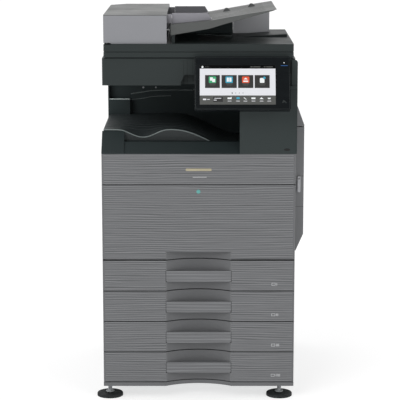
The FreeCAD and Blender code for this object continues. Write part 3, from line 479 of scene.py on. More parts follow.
finishes = {
    "frontGrey": engravedPlastic("frontGrey", dict(rippleLook, tone=tone(103, 104, 106), scoopShade=0.8)),
    "gripGrey": engravedPlastic("gripGrey",
        dict(rippleLook, tone=tone(102, 103, 105), scoopShade=1.0, pitch=0.0098, contrast=0.10,
            seamShade=0.0, ends=0.0988)),
    "plinthGrey": mouldedPlastic("plinthGrey", {"tone": tone(96, 97, 99), "rough": 0.5}),
    "charcoal": mouldedPlastic("charcoal",
        {"tone": tone(40, 46, 46), "shine": 0.2, "rough": 0.5, "mottle": 0.05}),
    "columnCharcoal": mouldedPlastic("columnCharcoal", {
        "tone": tone(44, 51, 51), "shine": 0.2, "rough": 0.48, "mottle": 0.05,
            "seams": [(2, 0.9577, 0.0006)]}),
    "scannerCharcoal": mouldedPlastic("scannerCharcoal", {
        "tone": tone(40, 46, 46), "shine": 0.2, "rough": 0.5, "mottle": 0.05,
        "seams": [(0, middleX - 0.045, 0.0005), (0, middleX - 0.034, 0.0005), (0, middleX - 0.017, 0.0005)]}),
    "bayBlack": ribbedTray("bayBlack", {"tone": tone(44, 50, 51), "frontShade": 0.7}),
    "bayWall": mouldedPlastic("bayWall",
        {"tone": tone(42, 50, 51), "shine": 0.15, "rough": 0.55, "mottle": 0.1}),
    "bayFront": mouldedPlastic("bayFront", {"tone": tone(32, 40, 41), "shine": 0.2, "rough": 0.5}),
    # the hood's top faces get painted shade
    "feederGrey": mouldedPlastic("feederGrey", {
        "tone": tone(126, 127, 131), "rough": 0.42, "mottle": 0.03,
        "paintedShadeTopTone": tone(64, 66, 65)}),
    "feederCharcoal": mouldedPlastic("feederCharcoal",
        {"tone": tone(38, 44, 44), "shine": 0.2, "rough": 0.5, "mottle": 0.05}),
    "trayGrey": mouldedPlastic("trayGrey", {
        "tone": tone(74, 76, 75), "rough": 0.48,
            "wall": (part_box("document_tray")[1].y - 0.03, tone(176, 177, 181))}),
    "stopGrey": mouldedPlastic("stopGrey", {"tone": tone(58, 60, 60), "rough": 0.48}),
    # bright tone for the pillar's top edge: a painted highlight
    "paintedHighlightEdge": mouldedPlastic("paintedHighlightEdge",
        {"tone": tone(190, 200, 199), "rough": 0.3, "grain": 0.0005, "mottle": 0.03}),
    "guideGrey": mouldedPlastic("guideGrey", {"tone": tone(132, 131, 137), "rough": 0.4, "mottle": 0.03}),
    "rearGuideGrey": mouldedPlastic("rearGuideGrey",
        {"tone": tone(94, 94, 98), "rough": 0.42, "mottle": 0.03}),
    "sideGrey": mouldedPlastic("sideGrey", {"tone": tone(116, 117, 119), "rough": 0.48}),
    "doorGrey": mouldedPlastic("doorGrey", {
        "tone": tone(115, 116, 118), "rough": 0.48,
        "seams": [(2, 0.6834, 0.0006), (2, 0.5885, 0.0006)]}),
    "panelBlack": glossPlastic("panelBlack", {"tone": tone(17, 20, 22)}),
    "panelRim": mouldedPlastic("panelRim", {"tone": tone(38, 43, 43), "rough": 0.35, "grain": 0.0005}),
    "displayBlack": glossPlastic("displayBlack", {"tone": tone(6, 7, 8), "rough": 0.04}),
    "platenGlass": clearGlass("platenGlass", {"tone": (0.80, 0.90, 0.88, 1.0)}),
    "padWhite": foamPad("padWhite", {"tone": tone(238, 238, 234)}),
    "frameSteel": platedSteel("frameSteel", {"tone": tone(178, 182, 184)}),
    "tubGrey": mouldedPlastic("tubGrey", {"tone": tone(168, 169, 170), "rough": 0.5, "mottle": 0.04}),
    "footBlack": mattRubber("footBlack",
        {"tone": tone(27, 28, 30), "crumb": 300.0, "stem": (0.0125, tone(168, 170, 172))}),
    "wheelGrey": mattRubber("wheelGrey", {"tone": tone(58, 58, 60), "crumb": 260.0}),
    "rollerRubber": mattRubber("rollerRubber", {"tone": tone(40, 40, 43), "crumb": 600.0}),
    "toner": tonerBottle("toner", {
        "tone": tone(36, 37, 40),
        "caps": [tone(38, 38, 40), tone(30, 140, 190), tone(190, 50, 110), tone(225, 190, 40)]}),
    "unitBlack": mouldedPlastic("unitBlack", {"tone": tone(44, 45, 47), "rough": 0.5, "grain": 0.0014}),
    "fuserMetal": platedSteel("fuserMetal", {"tone": tone(160, 160, 160), "spangle": 30.0}),
    "supplyMetal": platedSteel("supplyMetal", {"tone": tone(165, 168, 165), "spangle": 70.0}),
    "inletBlack": glossPlastic("inletBlack", {"tone": tone(16, 16, 17), "rough": 0.2, "coat": 0.1}),
    "leverGrey": mouldedPlastic("leverGrey", {"tone": tone(176, 177, 180), "rough": 0.4, "mottle": 0.03}),
    "badgePale": glossPlastic("badgePale", {"tone": tone(160, 152, 128), "rough": 0.25, "coat": 0.2}),
    "markPale": mouldedPlastic("markPale", {"tone": tone(172, 173, 175), "rough": 0.5, "mottle": 0.02}),
    "markTeal": glossPlastic("markTeal", {"tone": tone(88, 150, 146), "rough": 0.25, "coat": 0.3}),
    "slotBlack": mouldedPlastic("slotBlack", {"tone": tone(14, 15, 15), "rough": 0.7}),
    # light tone for beads on rounded edges: a painted highlight
    "highlightBeadGrey": mouldedPlastic("highlightBeadGrey",
        {"tone": tone(112, 120, 119), "rough": 0.3, "grain": 0.0005, "mottle": 0.03}),
    "screwSteel": platedSteel("screwSteel", {"tone": tone(150, 152, 154), "spangle": 400.0}),
    "screenWhite": litShape("screenWhite", {"tone": tone(236, 237, 242), "glow": 0.62}),
    "screenGrey": litShape("screenGrey", {"tone": tone(92, 93, 91), "glow": 0.6}),
    "tileDark": litShape("tileDark", {"tone": tone(62, 62, 62), "glow": 0.5}),
    "iconGreen": litShape("iconGreen", {"tone": tone(72, 176, 124), "glow": 0.6}),
    "iconTeal": litShape("iconTeal", {"tone": tone(70, 168, 196), "glow": 0.6}),
    "iconOrange": litShape("iconOrange", {"tone": tone(226, 92, 62), "glow": 0.65}),
    "iconWhite": litShape("iconWhite", {"tone": tone(240, 244, 245), "glow": 0.7}),
    "statusBlue": litShape("statusBlue", {"tone": tone(56, 104, 168), "glow": 0.6}),
}

finishOfSlot = {
    "front_grey": "frontGrey", "grip_grey": "gripGrey", "charcoal": "charcoal", "bay_black": "bayBlack",
    "feeder_grey": "feederGrey", "tray_grey": "trayGrey", "guide_grey": "guideGrey", "side_grey": "sideGrey",
    "panel_black": "panelBlack", "screen": "displayBlack", "platen": "platenGlass", "pad_white": "padWhite",
    "frame_steel": "frameSteel", "tub_grey": "tubGrey", "foot_black": "footBlack", "wheel_grey": "wheelGrey",
    "roller_rubber": "rollerRubber", "toner": "toner", "unit_black": "unitBlack", "fuser_metal": "fuserMetal",
    "supply_metal": "supplyMetal", "inlet_black": "inletBlack", "lever_grey": "leverGrey",
}
finishOfNode = {
    "base_cover": "plinthGrey", "right_column": "columnCharcoal", "scanner_housing": "scannerCharcoal",
    "bay_rear_wall": "bayWall", "bay_front_cover": "bayFront", "feeder_base": "feederCharcoal",
    "document_guide_rear": "rearGuideGrey", "right_door": "doorGrey",
}


def dressFrame():
    for name, piece in cadNodes.items():
        finish = finishes[finishOfNode.get(name, finishOfSlot[slotOfNode[name]])]
        if not piece.material_slots:
            piece.data.materials.append(finish)
        for place in piece.material_slots:
            place.material = finish


dressFrame()
print("frame dressed")


# ---- mesh helpers

def settle(name, mesh, body, finishNames=()):
    # makes the finished piece: at the origin, riding on its body, with its finishes
    piece = bpy.data.objects.new(name, mesh)
    bpy.context.scene.collection.objects.link(piece)
    for finishName in finishNames:
        mesh.materials.append(finishes[finishName])
    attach(piece, body)
    return piece


def meshFrom(bm, name):
    bmesh.ops.recalc_face_normals(bm, faces=bm.faces)
    mesh = bpy.data.meshes.new(name)
    bm.to_mesh(mesh)
    bm.free()
    return mesh


def addPrism(bm, outline, place, low, high, finish=0, crown=0.0):
    # a closed slab: an outline in the plane of place, from low to high along its third axis
    rings = []
    levels = [(low, 0.0), (high, 0.0)] if not crown else [(low, 0.0), (high - crown, 0.0), (high, crown)]
    centre = Vector((sum(p[0] for p in outline) / len(outline), sum(p[1] for p in outline) / len(outline)))
    for level, pull in levels:
        ring = []
        for x, y in outline:
            away = Vector((x, y)) - centre
            flat = centre + away * max(0.0, 1 - pull / max(away.length, 1e-6))
            ring.append(bm.verts.new(place @ Vector((flat.x, flat.y, level))))
        rings.append(ring)
    faces = [bm.faces.new(rings[0][::-1]), bm.faces.new(rings[-1])]
    count = len(outline)
    for lower, upper in zip(rings, rings[1:]):
        for i in range(count):
            j = (i + 1) % count
            faces.append(bm.faces.new((lower[i], lower[j], upper[j], upper[i])))
    for face in faces:
        face.material_index = finish
    return faces


def rectangle(x, y, width, height, corner=0.0, steps=4):
    # outline with its top-left corner at x, y; corner rounds it
    if not corner:
        return [(x, y), (x + width, y), (x + width, y + height), (x, y + height)]
    points = []
    for cx, cy, start in ((x + width - corner, y + height - corner, 0), (x + corner, y + height - corner, 90),
                          (x + corner, y + corner, 180), (x + width - corner, y + corner, 270)):
        for i in range(steps + 1):
            angle = math.radians(start + 90 * i / steps)
            points.append((cx + corner * math.cos(angle), cy + corner * math.sin(angle)))
    return points


def ellipse(x, y, rx, ry, count=24):
    return [(x + rx * math.cos(2 * math.pi * i / count),
        y + ry * math.sin(2 * math.pi * i / count)) for i in range(count)]


def faceFrame(nodeName):
    # the plane of a node's large front face: place, and its width and height
    mesh = cadNodes[nodeName].data
    areas = {}
    for polygon in mesh.polygons:
        if polygon.normal.y < -0.3:
            key = tuple(round(c, 3) for c in polygon.normal)
            areas[key] = areas.get(key, 0.0) + polygon.area
    normal = Vector(max(areas, key=areas.get)).normalized()
    right = Vector((1, 0, 0))
    down = right.cross(normal)
    points = [v.co for v in mesh.vertices]
    top = max(p.dot(normal) for p in points)
    face = [p for p in points if p.dot(normal) > top - 0.0005]
    left = min(p.dot(right) for p in face)
    high = min(p.dot(down) for p in face)
    place = Matrix.Identity(4)
    for column, axis in enumerate((right, down, normal)):
        for row in range(3):
            place[row][column] = axis[row]
    origin = right * left + down * high + normal * top
    for row in range(3):
        place[row][3] = origin[row]
    return place, max(p.dot(right) for p in face) - left, max(p.dot(down) for p in face) - high


# ---- geometry node helpers

def startTree(name, sockets):
    tree = bpy.data.node_groups.new(name, "GeometryNodeTree")
    tree.interface.new_socket("Geometry", in_out="INPUT", socket_type="NodeSocketGeometry")
    for socketName, kind, value in sockets:
        socket = tree.interface.new_socket(socketName, in_out="INPUT", socket_type="NodeSocket" + kind)
        if value is not None:
            socket.default_value = value
    tree.interface.new_socket("Geometry", in_out="OUTPUT", socket_type="NodeSocketGeometry")
    given = tree.nodes.new("NodeGroupInput").outputs
    return tree, given


def endTree(tree, geometry, material):
    # every tree ends in real geometry with its finish set
    real = addNode(tree, "GeometryNodeRealizeInstances", {"Geometry": geometry}).outputs[0]
    done = addNode(tree, "GeometryNodeSetMaterial", {"Geometry": real, "Material": material}).outputs[0]
    out = tree.nodes.new("NodeGroupOutput")
    tree.links.new(done, out.inputs[0])
    return tree


def grow(name, base, tree, values, body):
    # runs a tree on a base mesh or curve and keeps its result as a plain mesh
    seed = bpy.data.objects.new(name + ".seed", base)
    bpy.context.scene.collection.objects.link(seed)
    modifier = seed.modifiers.new("grow", "NODES")
    modifier.node_group = tree
    for item in tree.interface.items_tree:
        if item.in_out == "INPUT" and item.name in values:
            modifier[item.identifier] = values[item.name]
    bpy.context.view_layer.update()
    evaluated = seed.evaluated_get(bpy.context.evaluated_depsgraph_get())
    mesh = bpy.data.meshes.new_from_object(evaluated)
    mesh.name = name
    bpy.data.objects.remove(seed)
    return settle(name, mesh, body)


def pointMesh(name, points, turns=None):
    mesh = bpy.data.meshes.new(name)
    mesh.from_pydata([tuple(p) for p in points], [], [])
    turn = mesh.attributes.new("turn", "FLOAT_VECTOR", "POINT")
    for i in range(len(points)):
        turn.data[i].vector = turns[i] if turns else (0.0, 0.0, 0.0)
    return mesh


def addLine(curve, points):
    spline = curve.splines.new("POLY")
    spline.points.add(len(points) - 1)
    for place, point in zip(spline.points, points):
        place.co = (*point, 1.0)


def pathCurve(name, points):
    curve = bpy.data.curves.new(name, "CURVE")
    curve.dimensions = "3D"
    addLine(curve, points)
    return curve


def sweep(tree, curve, sides, radius):
    # a smooth bar with a round section along a curve
    profile = addNode(tree, "GeometryNodeCurvePrimitiveCircle", {
        "Resolution": sides, "Radius": radius}).outputs[0]
    return addNode(tree, "GeometryNodeCurveToMesh", {
        "Curve": curve, "Profile Curve": profile, "Fill Caps": True}).outputs[0]


def buildRibTree():
    # level ribs laid over a surface: rows of lines are dropped onto it and thickened
    tree, given = startTree("surfaceRibs", [
        ("Surface", "Object", None), ("Start", "Vector", (0, 0, 0)), ("End", "Vector", (1, 0, 0)),
        ("Rows", "Int", 6), ("Row Step", "Vector", (0, 0.03, 0)), ("Points", "Int", 60),
        ("Drop", "Vector", (0, 0, -1)), ("Width", "Float", 0.002), ("Sink", "Float", 0.0003),
        ("Material", "Material", None)])
    line = addNode(tree, "GeometryNodeCurvePrimitiveLine",
        {"Start": given["Start"], "End": given["End"]}).outputs[0]
    line = addNode(tree, "GeometryNodeResampleCurve", {"Curve": line, "Count": given["Points"]}).outputs[0]
    copies = addNode(tree, "GeometryNodeDuplicateElements", {"Geometry": line, "Amount": given["Rows"]},
        domain="SPLINE")
    offset = addNode(tree, "ShaderNodeVectorMath", {0: given["Row Step"]}, operation="SCALE")
    tree.links.new(copies.outputs["Duplicate Index"], offset.inputs["Scale"])
    rows = addNode(tree, "GeometryNodeSetPosition",
        {"Geometry": copies.outputs[0], "Offset": offset.outputs[0]}).outputs[0]
    surface = addNode(tree, "GeometryNodeObjectInfo", {"Object": given["Surface"]},
        transform_space="RELATIVE")
    ray = addNode(tree, "GeometryNodeRaycast",
        {"Target Geometry": surface.outputs["Geometry"], "Ray Direction": given["Drop"], "Ray Length": 2.0})
    push = addNode(tree, "ShaderNodeVectorMath", {0: given["Drop"]}, operation="SCALE")
    tree.links.new(given["Sink"], push.inputs["Scale"])
    laid = addNode(tree, "GeometryNodeSetPosition", {
        "Geometry": rows, "Selection": ray.outputs["Is Hit"], "Position": ray.outputs["Hit Position"],
            "Offset": push.outputs[0]}).outputs[0]
    half = addNode(tree, "ShaderNodeMath", {0: given["Width"], 1: 0.5}, operation="MULTIPLY").outputs[0]
    ribs = sweep(tree, laid, 8, half)
    ribs = addNode(tree, "GeometryNodeSetShadeSmooth", {"Geometry": ribs}).outputs[0]
    return endTree(tree, ribs, given["Material"])


def buildBeadTree():
    # a round bead along the given curve
    tree, given = startTree("bead",
        [("Width", "Float", 0.003), ("Sides", "Int", 10), ("Material", "Material", None)])
    half = addNode(tree, "ShaderNodeMath", {0: given["Width"], 1: 0.5}, operation="MULTIPLY").outputs[0]
    bead = sweep(tree, given["Geometry"], given["Sides"], half)
    bead = addNode(tree, "GeometryNodeSetShadeSmooth", {"Geometry": bead}).outputs[0]
    return endTree(tree, bead, given["Material"])


def buildScatterTree():
    # one shape set at every point of the base, turned by the point's own attribute
    tree, given = startTree("scatter",
        [("Shape", "Object", None), ("Size", "Float", 1.0), ("Material", "Material", None)])
    shape = addNode(tree, "GeometryNodeObjectInfo", {"Object": given["Shape"]},
        transform_space="ORIGINAL").outputs["Geometry"]
    turn = addNode(tree, "GeometryNodeInputNamedAttribute", {"Name": "turn"},
        data_type="FLOAT_VECTOR").outputs[0]
    turn = addNode(tree, "FunctionNodeEulerToRotation", {0: turn}).outputs[0]
    size = addNode(tree, "ShaderNodeCombineXYZ").inputs
    for socket in size:
        tree.links.new(given["Size"], socket)
    many = addNode(tree, "GeometryNodeInstanceOnPoints", {
        "Points": given["Geometry"], "Instance": shape, "Rotation": turn,
            "Scale": size[0].node.outputs[0]}).outputs[0]
    return endTree(tree, many, given["Material"])


def buildThreadTree():
    # a screw thread: a round ridge wound up a stem
    tree, given = startTree("thread", [
        ("Radius", "Float", 0.006), ("Pitch", "Float", 0.00175), ("Height", "Float", 0.02),
        ("Place", "Vector", (0, 0, 0)), ("Material", "Material", None)])
    turns = addNode(tree, "ShaderNodeMath", {0: given["Height"], 1: given["Pitch"]},
        operation="DIVIDE").outputs[0]
    coil = addNode(tree, "GeometryNodeCurveSpiral", {
        "Resolution": 16, "Rotations": turns, "Start Radius": given["Radius"], "End Radius": given["Radius"],
        "Height": given["Height"]}).outputs[0]
    ridge = addNode(tree, "ShaderNodeMath", {0: given["Pitch"], 1: 0.32}, operation="MULTIPLY").outputs[0]
    thread = sweep(tree, coil, 5, ridge)
    thread = addNode(tree, "GeometryNodeTransform",
        {"Geometry": thread, "Translation": given["Place"]}).outputs[0]
    thread = addNode(tree, "GeometryNodeSetShadeSmooth", {"Geometry": thread}).outputs[0]
    return endTree(tree, thread, given["Material"])


ribTree = buildRibTree()
beadTree = buildBeadTree()
scatterTree = buildScatterTree()
threadTree = buildThreadTree()
print("node trees ready")


# ---- exit bay: bead along the tray's edge, ribs on the tray, lines on the back wall; the beads' light tones are painted highlights on rounded edges

bay = {"edgeWidth": 0.0034, "ribWidth": 0.0026, "ribRows": 9, "ribStep": 0.034, "wallBehind": 0.030}


def trayEdge():
    mesh = cadNodes["exit_tray"].data
    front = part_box("exit_tray")[0].y
    heights = {}
    for vertex in mesh.vertices:
        if vertex.co.y < front + 1e-5:
            key = round(vertex.co.x, 5)
            heights[key] = max(heights.get(key, -1.0), vertex.co.z)
    points = [Vector((x, front, z)) for x, z in sorted(heights.items())]
    top = points[0].z
    return [p for p in points if p.z > top - 0.09]


def buildBay():
    edge = trayEdge()
    lift = Vector((0, bay["edgeWidth"] * 0.15, -bay["edgeWidth"] * 0.2))
    grow("trayEdgeBead", pathCurve("trayEdge", [p + lift for p in edge]), beadTree,
         {"Width": bay["edgeWidth"], "Sides": 12, "Material": finishes["highlightBeadGrey"]}, "cabinet")

    low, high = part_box("exit_tray")
    start = Vector((low.x + 0.006, low.y + 0.062, high.z + 0.02))
    end = Vector((high.x - 0.008, start.y, start.z))
    grow("trayRibs", bpy.data.meshes.new("ribSeed"), ribTree, {
        "Surface": cadNodes["exit_tray"], "Start": start, "End": end, "Rows": bay["ribRows"],
        "Row Step": (0, bay["ribStep"], 0), "Points": 90, "Width": bay["ribWidth"], "Sink": 0.0004,
        "Material": finishes["bayBlack"]}, "cabinet")

    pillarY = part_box("bay_rear_wall")[0].y
    backY = pillarY + bay["wallBehind"]
    pillarTop = fromFront(0, 0, 879).z
    # the pillar's top edge: a rounded bead in a bright tone, a painted highlight where the edge catches the
    # light
    step = [(-288, pillarTop, pillarY), (-222, pillarTop, pillarY)]
    grow("pillarBead", pathCurve("pillarLine", [Vector((fromFront(x, 0, 0).x, y, z)) for x, z, y in step]),
        beadTree,
         {"Width": 0.003, "Sides": 10, "Material": finishes["paintedHighlightEdge"]}, "cabinet")
    rise = [(-221, 874), (-204, 874.5), (-174, 879.2), (-156, 883), (-138, 884.8), (-90, 886)]
    ridge = [(-221, 892), (-212, 894), (-184, 898.2), (-155, 903), (-119, 904.7), (-60, 904.9), (40, 904.9)]
    for name, line, width in (("wallRise", rise, 0.0022), ("wallRidge", ridge, 0.003)):
        grow(name, pathCurve(name, [Vector((fromFront(x, 0, 0).x, backY, z / 1000)) for x, z in line]),
            beadTree,
             {"Width": width, "Sides": 10, "Material": finishes["highlightBeadGrey"]}, "cabinet")


buildBay()


def buildColumnSkin():
    # a thin front skin over the right column, turned in along its left edge
    low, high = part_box("right_column")
    left = low.x - 0.018
    right = high.x - 0.0035
    front = low.y - 0.0003
    outline = [(left, front), (right, front), (right, low.y + 0.0002), (low.x + 0.001, low.y + 0.0002),
               (low.x + 0.001, low.y + 0.052), (left, low.y + 0.052)]
    bm = bmesh.new()
    addPrism(bm, outline, Matrix.Identity(4), low.z + 0.0006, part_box("scanner_housing")[0].z - 0.001)
    settle("columnSkin", meshFrom(bm, "columnSkin"), "cabinet", ["columnCharcoal"])


buildColumnSkin()
print("exit bay done")


# ---- dark strips under the fronts, just behind their seams: painted shade darkening the gaps between the fronts

shadeStripLook = {"width": 0.0021, "depth": 0.0026, "ends": 0.003, "scoop": 0.104}


def buildShadeStrips():
    for node, body in (("front_cover", "front_cover"), ("drawer_1_front", "drawer_1"),
                       ("drawer_2_front", "drawer_2"), ("drawer_3_front", "drawer_3")):
        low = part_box(node)[0]
        y = low.y + shadeStripLook["depth"]
        z = low.z - shadeStripLook["width"] * 0.55
        outer, inner = halfWidth - shadeStripLook["ends"], shadeStripLook["scoop"]
        curve = pathCurve("paintedShadeStrip", [Vector((middleX - outer, y, z)), Vector((middleX - inner, y, z))])
        addLine(curve, [Vector((middleX + inner, y, z)), Vector((middleX + outer, y, z))])
        grow(node + "_seal", curve, beadTree,
             {"Width": shadeStripLook["width"], "Sides": 8, "Material": finishes["slotBlack"]}, body)


buildShadeStrips()


# ---- screws, one shape set wherever a cover or plate is held

screwLook = {"headRadius": 0.0032, "headHeight": 0.0014, "crossLength": 0.0036, "crossWidth": 0.0009}


def screwHead():
    bm = bmesh.new()
    rings = [(1.0, 0.0), (1.0, 0.45), (0.86, 0.8), (0.6, 0.95)]
    place = Matrix.Identity(4)
    count = 16
    levels = []
    for share, rise in rings:
        levels.append([bm.verts.new((screwLook["headRadius"] * share * math.cos(2 * math.pi * i / count),
                                     screwLook["headRadius"] * share * math.sin(2 * math.pi * i / count),
                                     screwLook["headHeight"] * rise)) for i in range(count)])
    bm.faces.new(levels[0][::-1])
    bm.faces.new(levels[-1])
    for lower, upper in zip(levels, levels[1:]):
        for i in range(count):
            j = (i + 1) % count
            bm.faces.new((lower[i], lower[j], upper[j], upper[i]))
    head = bpy.data.objects.new("screwShape", meshFrom(bm, "screwShape"))
    bpy.context.scene.collection.objects.link(head)
    cross = bmesh.new()
    long, thin = screwLook["crossLength"] / 2, screwLook["crossWidth"] / 2
    outline = [(long, thin), (thin, thin), (thin, long), (-thin, long), (-thin, thin), (-long, thin),
               (-long, -thin), (-thin, -thin), (-thin, -long), (thin, -long), (thin, -thin), (long, -thin)]
    addPrism(cross, outline, place, screwLook["headHeight"] * 0.35, screwLook["headHeight"] * 2)
    tool = bpy.data.objects.new("crossShape", meshFrom(cross, "crossShape"))
    bpy.context.scene.collection.objects.link(tool)
    cutter = head.modifiers.new("cut", "BOOLEAN")
    cutter.operation = "DIFFERENCE"
    cutter.object = tool
    bpy.context.view_layer.update()
    mesh = bpy.data.meshes.new_from_object(head.evaluated_get(bpy.context.evaluated_depsgraph_get()))
    bpy.data.objects.remove(tool)
    head.modifiers.clear()
    head.data = mesh
    return head


def scatterShapes(name, shape, points, turns, finishName, body, size=1.0):
    return grow(name, pointMesh(name + ".points", points, turns), scatterTree,
                {"Shape": shape, "Size": size, "Material": finishes[finishName]}, body)


def buildScrews():
    head = screwHead()
    half = math.pi / 2
    faceBack, faceFront, faceLeft = (-half, 0, 0), (half, 0, 0), (0, -half, 0)
    rearLow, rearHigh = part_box("rear_cover")
    points, turns = [], []
    for z in (0.072, 0.29, 0.51, 0.73, 0.945):
        for x in (rearLow.x + 0.014, middleX, rearHigh.x - 0.014):
            points.append((x, rearHigh.y, z))
            turns.append(faceBack)
    boxLow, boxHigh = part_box("scanner_housing")
    for x in (boxLow.x + 0.03, middleX, boxHigh.x - 0.03):
        points.append((x, boxHigh.y, boxLow.z + 0.04))
        turns.append(faceBack)
    leftLow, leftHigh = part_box("left_cover")
    for y in (leftLow.y + 0.02, leftHigh.y - 0.02):
        for z in (0.075, 0.40, 0.735):
            points.append((leftLow.x, y, z))
            turns.append(faceLeft)
    plateLow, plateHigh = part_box("inner_front_plate")
    for x in (plateLow.x + 0.018, plateHigh.x - 0.018):
        for z in (plateLow.z + 0.03, plateHigh.z - 0.03, (plateLow.z + plateHigh.z) / 2):
            points.append((x, plateLow.y, z))
            turns.append(faceFront)
    # two bosses high on the back wall of the exit bay
    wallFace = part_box("bay_rear_wall")[0].y + bay["wallBehind"]
    for x in (-180, -139):
        points.append((fromFront(x, 0, 0).x, wallFace, 0.9135))
        turns.append(faceFront)
    scatterShapes("caseScrews", head, [Vector(p) for p in points], turns,
                  "screwSteel", "cabinet")
    bpy.data.objects.remove(head)


buildScrews()
print("screws done")


# ---- vents on the left and rear covers, and the thread on the feet

ventLook = {"length": 0.072, "height": 0.0062, "proud": 0.0018, "pitch": 0.0115, "columnStep": 0.088}


def louvreShape():
    # a pressed hood: flush at its top, proud at its lower lip
    long, high, proud = ventLook["length"] / 2, ventLook["height"], ventLook["proud"]
    bm = bmesh.new()
    sections = []
    for share, shrink in ((-1.0, 0.0), (-0.93, 0.75), (-0.8, 1.0), (0.8, 1.0), (0.93, 0.75), (1.0, 0.0)):
        x = long * share
        lip = proud * shrink
        sections.append([bm.verts.new((x, high, -0.0004)), bm.verts.new((x, high * 0.25, lip * 0.85)),
                         bm.verts.new((x, 0.0, lip)), bm.verts.new((x, -0.0006, lip * 0.5)),
                         bm.verts.new((x, 0.0, -0.0004))])
    bm.faces.new(sections[0])
    bm.faces.new(sections[-1][::-1])
    for first, second in zip(sections, sections[1:]):
        for i in range(5):
            j = (i + 1) % 5
            bm.faces.new((first[i], first[j], second[j], second[i]))
    shape = bpy.data.objects.new("louvreShape", meshFrom(bm, "louvreShape"))
    bpy.context.scene.collection.objects.link(shape)
    return shape


def mouthShape():
    # the dark mouth under one hood: a near-black plate, painted shade standing in for the shadow inside the
    # opening
    bm = bmesh.new()
    addPrism(bm, rectangle(-ventLook["length"] * 0.43, -0.0022, ventLook["length"] * 0.86, 0.0026, 0.0011),
             Matrix.Identity(4), -0.0003, 0.00012)
    shape = bpy.data.objects.new("mouthShape", meshFrom(bm, "mouthShape"))
    bpy.context.scene.collection.objects.link(shape)
    return shape


def buildVents():
    hood, mouth = louvreShape(), mouthShape()
    rearLow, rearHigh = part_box("rear_cover")
    leftLow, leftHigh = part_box("left_cover")
    half = math.pi / 2
    step = ventLook["columnStep"]
    rearTurn, leftTurn = (half, 0, math.pi), (half, 0, -half)
    points, turns = [], []
    for columns, rows, turn, spot, across in (
            (2, 14, rearTurn, (rearLow.x + 0.10, rearHigh.y, 0.55), (step, 0, 0)),
            (3, 7, rearTurn, (rearHigh.x - 0.10, rearHigh.y, 0.78), (-step, 0, 0)),
            (2, 12, leftTurn, (leftLow.x, leftHigh.y - 0.09, 0.52), (0, -step, 0))):
        for column in range(columns):
            for row in range(rows):
                points.append(Vector(spot) + Vector(across) * column + Vector(
                    (0, 0, row * ventLook["pitch"])))
                turns.append(turn)
    scatterShapes("ventHoods", hood, points, turns, "sideGrey", "cabinet")
    scatterShapes("ventMouths", mouth, points, turns, "slotBlack", "cabinet")
    bpy.data.objects.remove(hood)
    bpy.data.objects.remove(mouth)


def buildFootThreads():
    for side in ("left", "right"):
        low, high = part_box("levelling_foot_" + side)
        centre = ((low.x + high.x) / 2, (low.y + high.y) / 2, 0.0145)
        grow("footThread_" + side, bpy.data.meshes.new("threadSeed"), threadTree, {
            "Radius": 0.0059, "Pitch": 0.0019, "Height": 0.0215, "Place": centre,
            "Material": finishes["screwSteel"]}, "levelling_foot_" + side)


buildVents()
buildFootThreads()
print("vents and feet done")


# ---- feeder: ribs and stops on the document tray

feederLook = {"ribRows": 7, "ribStep": 0.047, "ribWidth": 0.0022}


def buildFeeder():
    low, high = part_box("document_tray")
    start = Vector((low.x + 0.012, low.y + 0.048, high.z + 0.02))
    end = Vector((high.x - 0.032, start.y, start.z))
    grow("documentTrayRibs", bpy.data.meshes.new("ribSeed"), ribTree, {
        "Surface": cadNodes["document_tray"], "Start": start, "End": end, "Rows": feederLook["ribRows"],
        "Row Step": (0, feederLook["ribStep"], 0), "Points": 70, "Width": feederLook["ribWidth"],
            "Sink": 0.0006,
        "Material": finishes["trayGrey"]}, "document_tray")

    # two low stops with a pointed top
    bm = bmesh.new()
    tray = cadNodes["document_tray"]
    for x, y in ((88, 300), (166, 309)):
        above = fromFront(x, y, 1300)
        foot, normal = tray.ray_cast(above, Vector((0, 0, -1)))[1:3]
        slope = Matrix.Translation(foot) @ Vector((0, 0, 1)).rotation_difference(normal).to_matrix().to_4x4()
        ring = [bm.verts.new(slope @ Vector((a * 0.013, b * 0.010, -0.001))) for a,
            b in ((-1, -1), (1, -1), (1, 1), (-1, 1))]
        crown = [bm.verts.new(slope @ Vector((a * 0.0035, b * 0.0028, 0.0095))) for a,
            b in ((-1, -1), (1, -1), (1, 1), (-1, 1))]
        bm.faces.new(ring[::-1])
        bm.faces.new(crown)
        for i in range(4):
            j = (i + 1) % 4
            bm.faces.new((ring[i], ring[j], crown[j], crown[i]))
    bmesh.ops.bevel(bm, geom=list(bm.edges), offset=0.0008, segments=2, affect="EDGES")
    settle("trayStops", meshFrom(bm, "trayStops"), "document_tray", ["stopGrey"])


buildFeeder()


def buildInletCheeks():
    # the mouth of the hood has a thin cheek just outside each document guide
    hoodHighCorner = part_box("feeder_cover")[1]
    bm = bmesh.new()
    for side, finish in (("front", 0), ("rear", 1)):
        low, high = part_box("document_guide_" + side)
        y = low.y - 0.0015 if side == "front" else high.y + 0.0050
        outline = [(hoodHighCorner.x - 0.0005, low.z + 0.0022), (low.x - 0.0004, low.z + 0.0022),
                   (low.x - 0.0004, hoodHighCorner.z - 0.0006),
                       (hoodHighCorner.x - 0.0005, hoodHighCorner.z - 0.0006)]
        place = Matrix.Identity(4)
        place.col[1] = (0, 0, 1, 0)
        place.col[2] = (0, -1, 0, 0)
        place.translation = (0, y, 0)
        addPrism(bm, outline, place, 0.0, 0.0032, finish)
    settle("inletCheeks", meshFrom(bm, "inletCheeks"), "feeder_cover",
        ["guideGrey", "rearGuideGrey"])


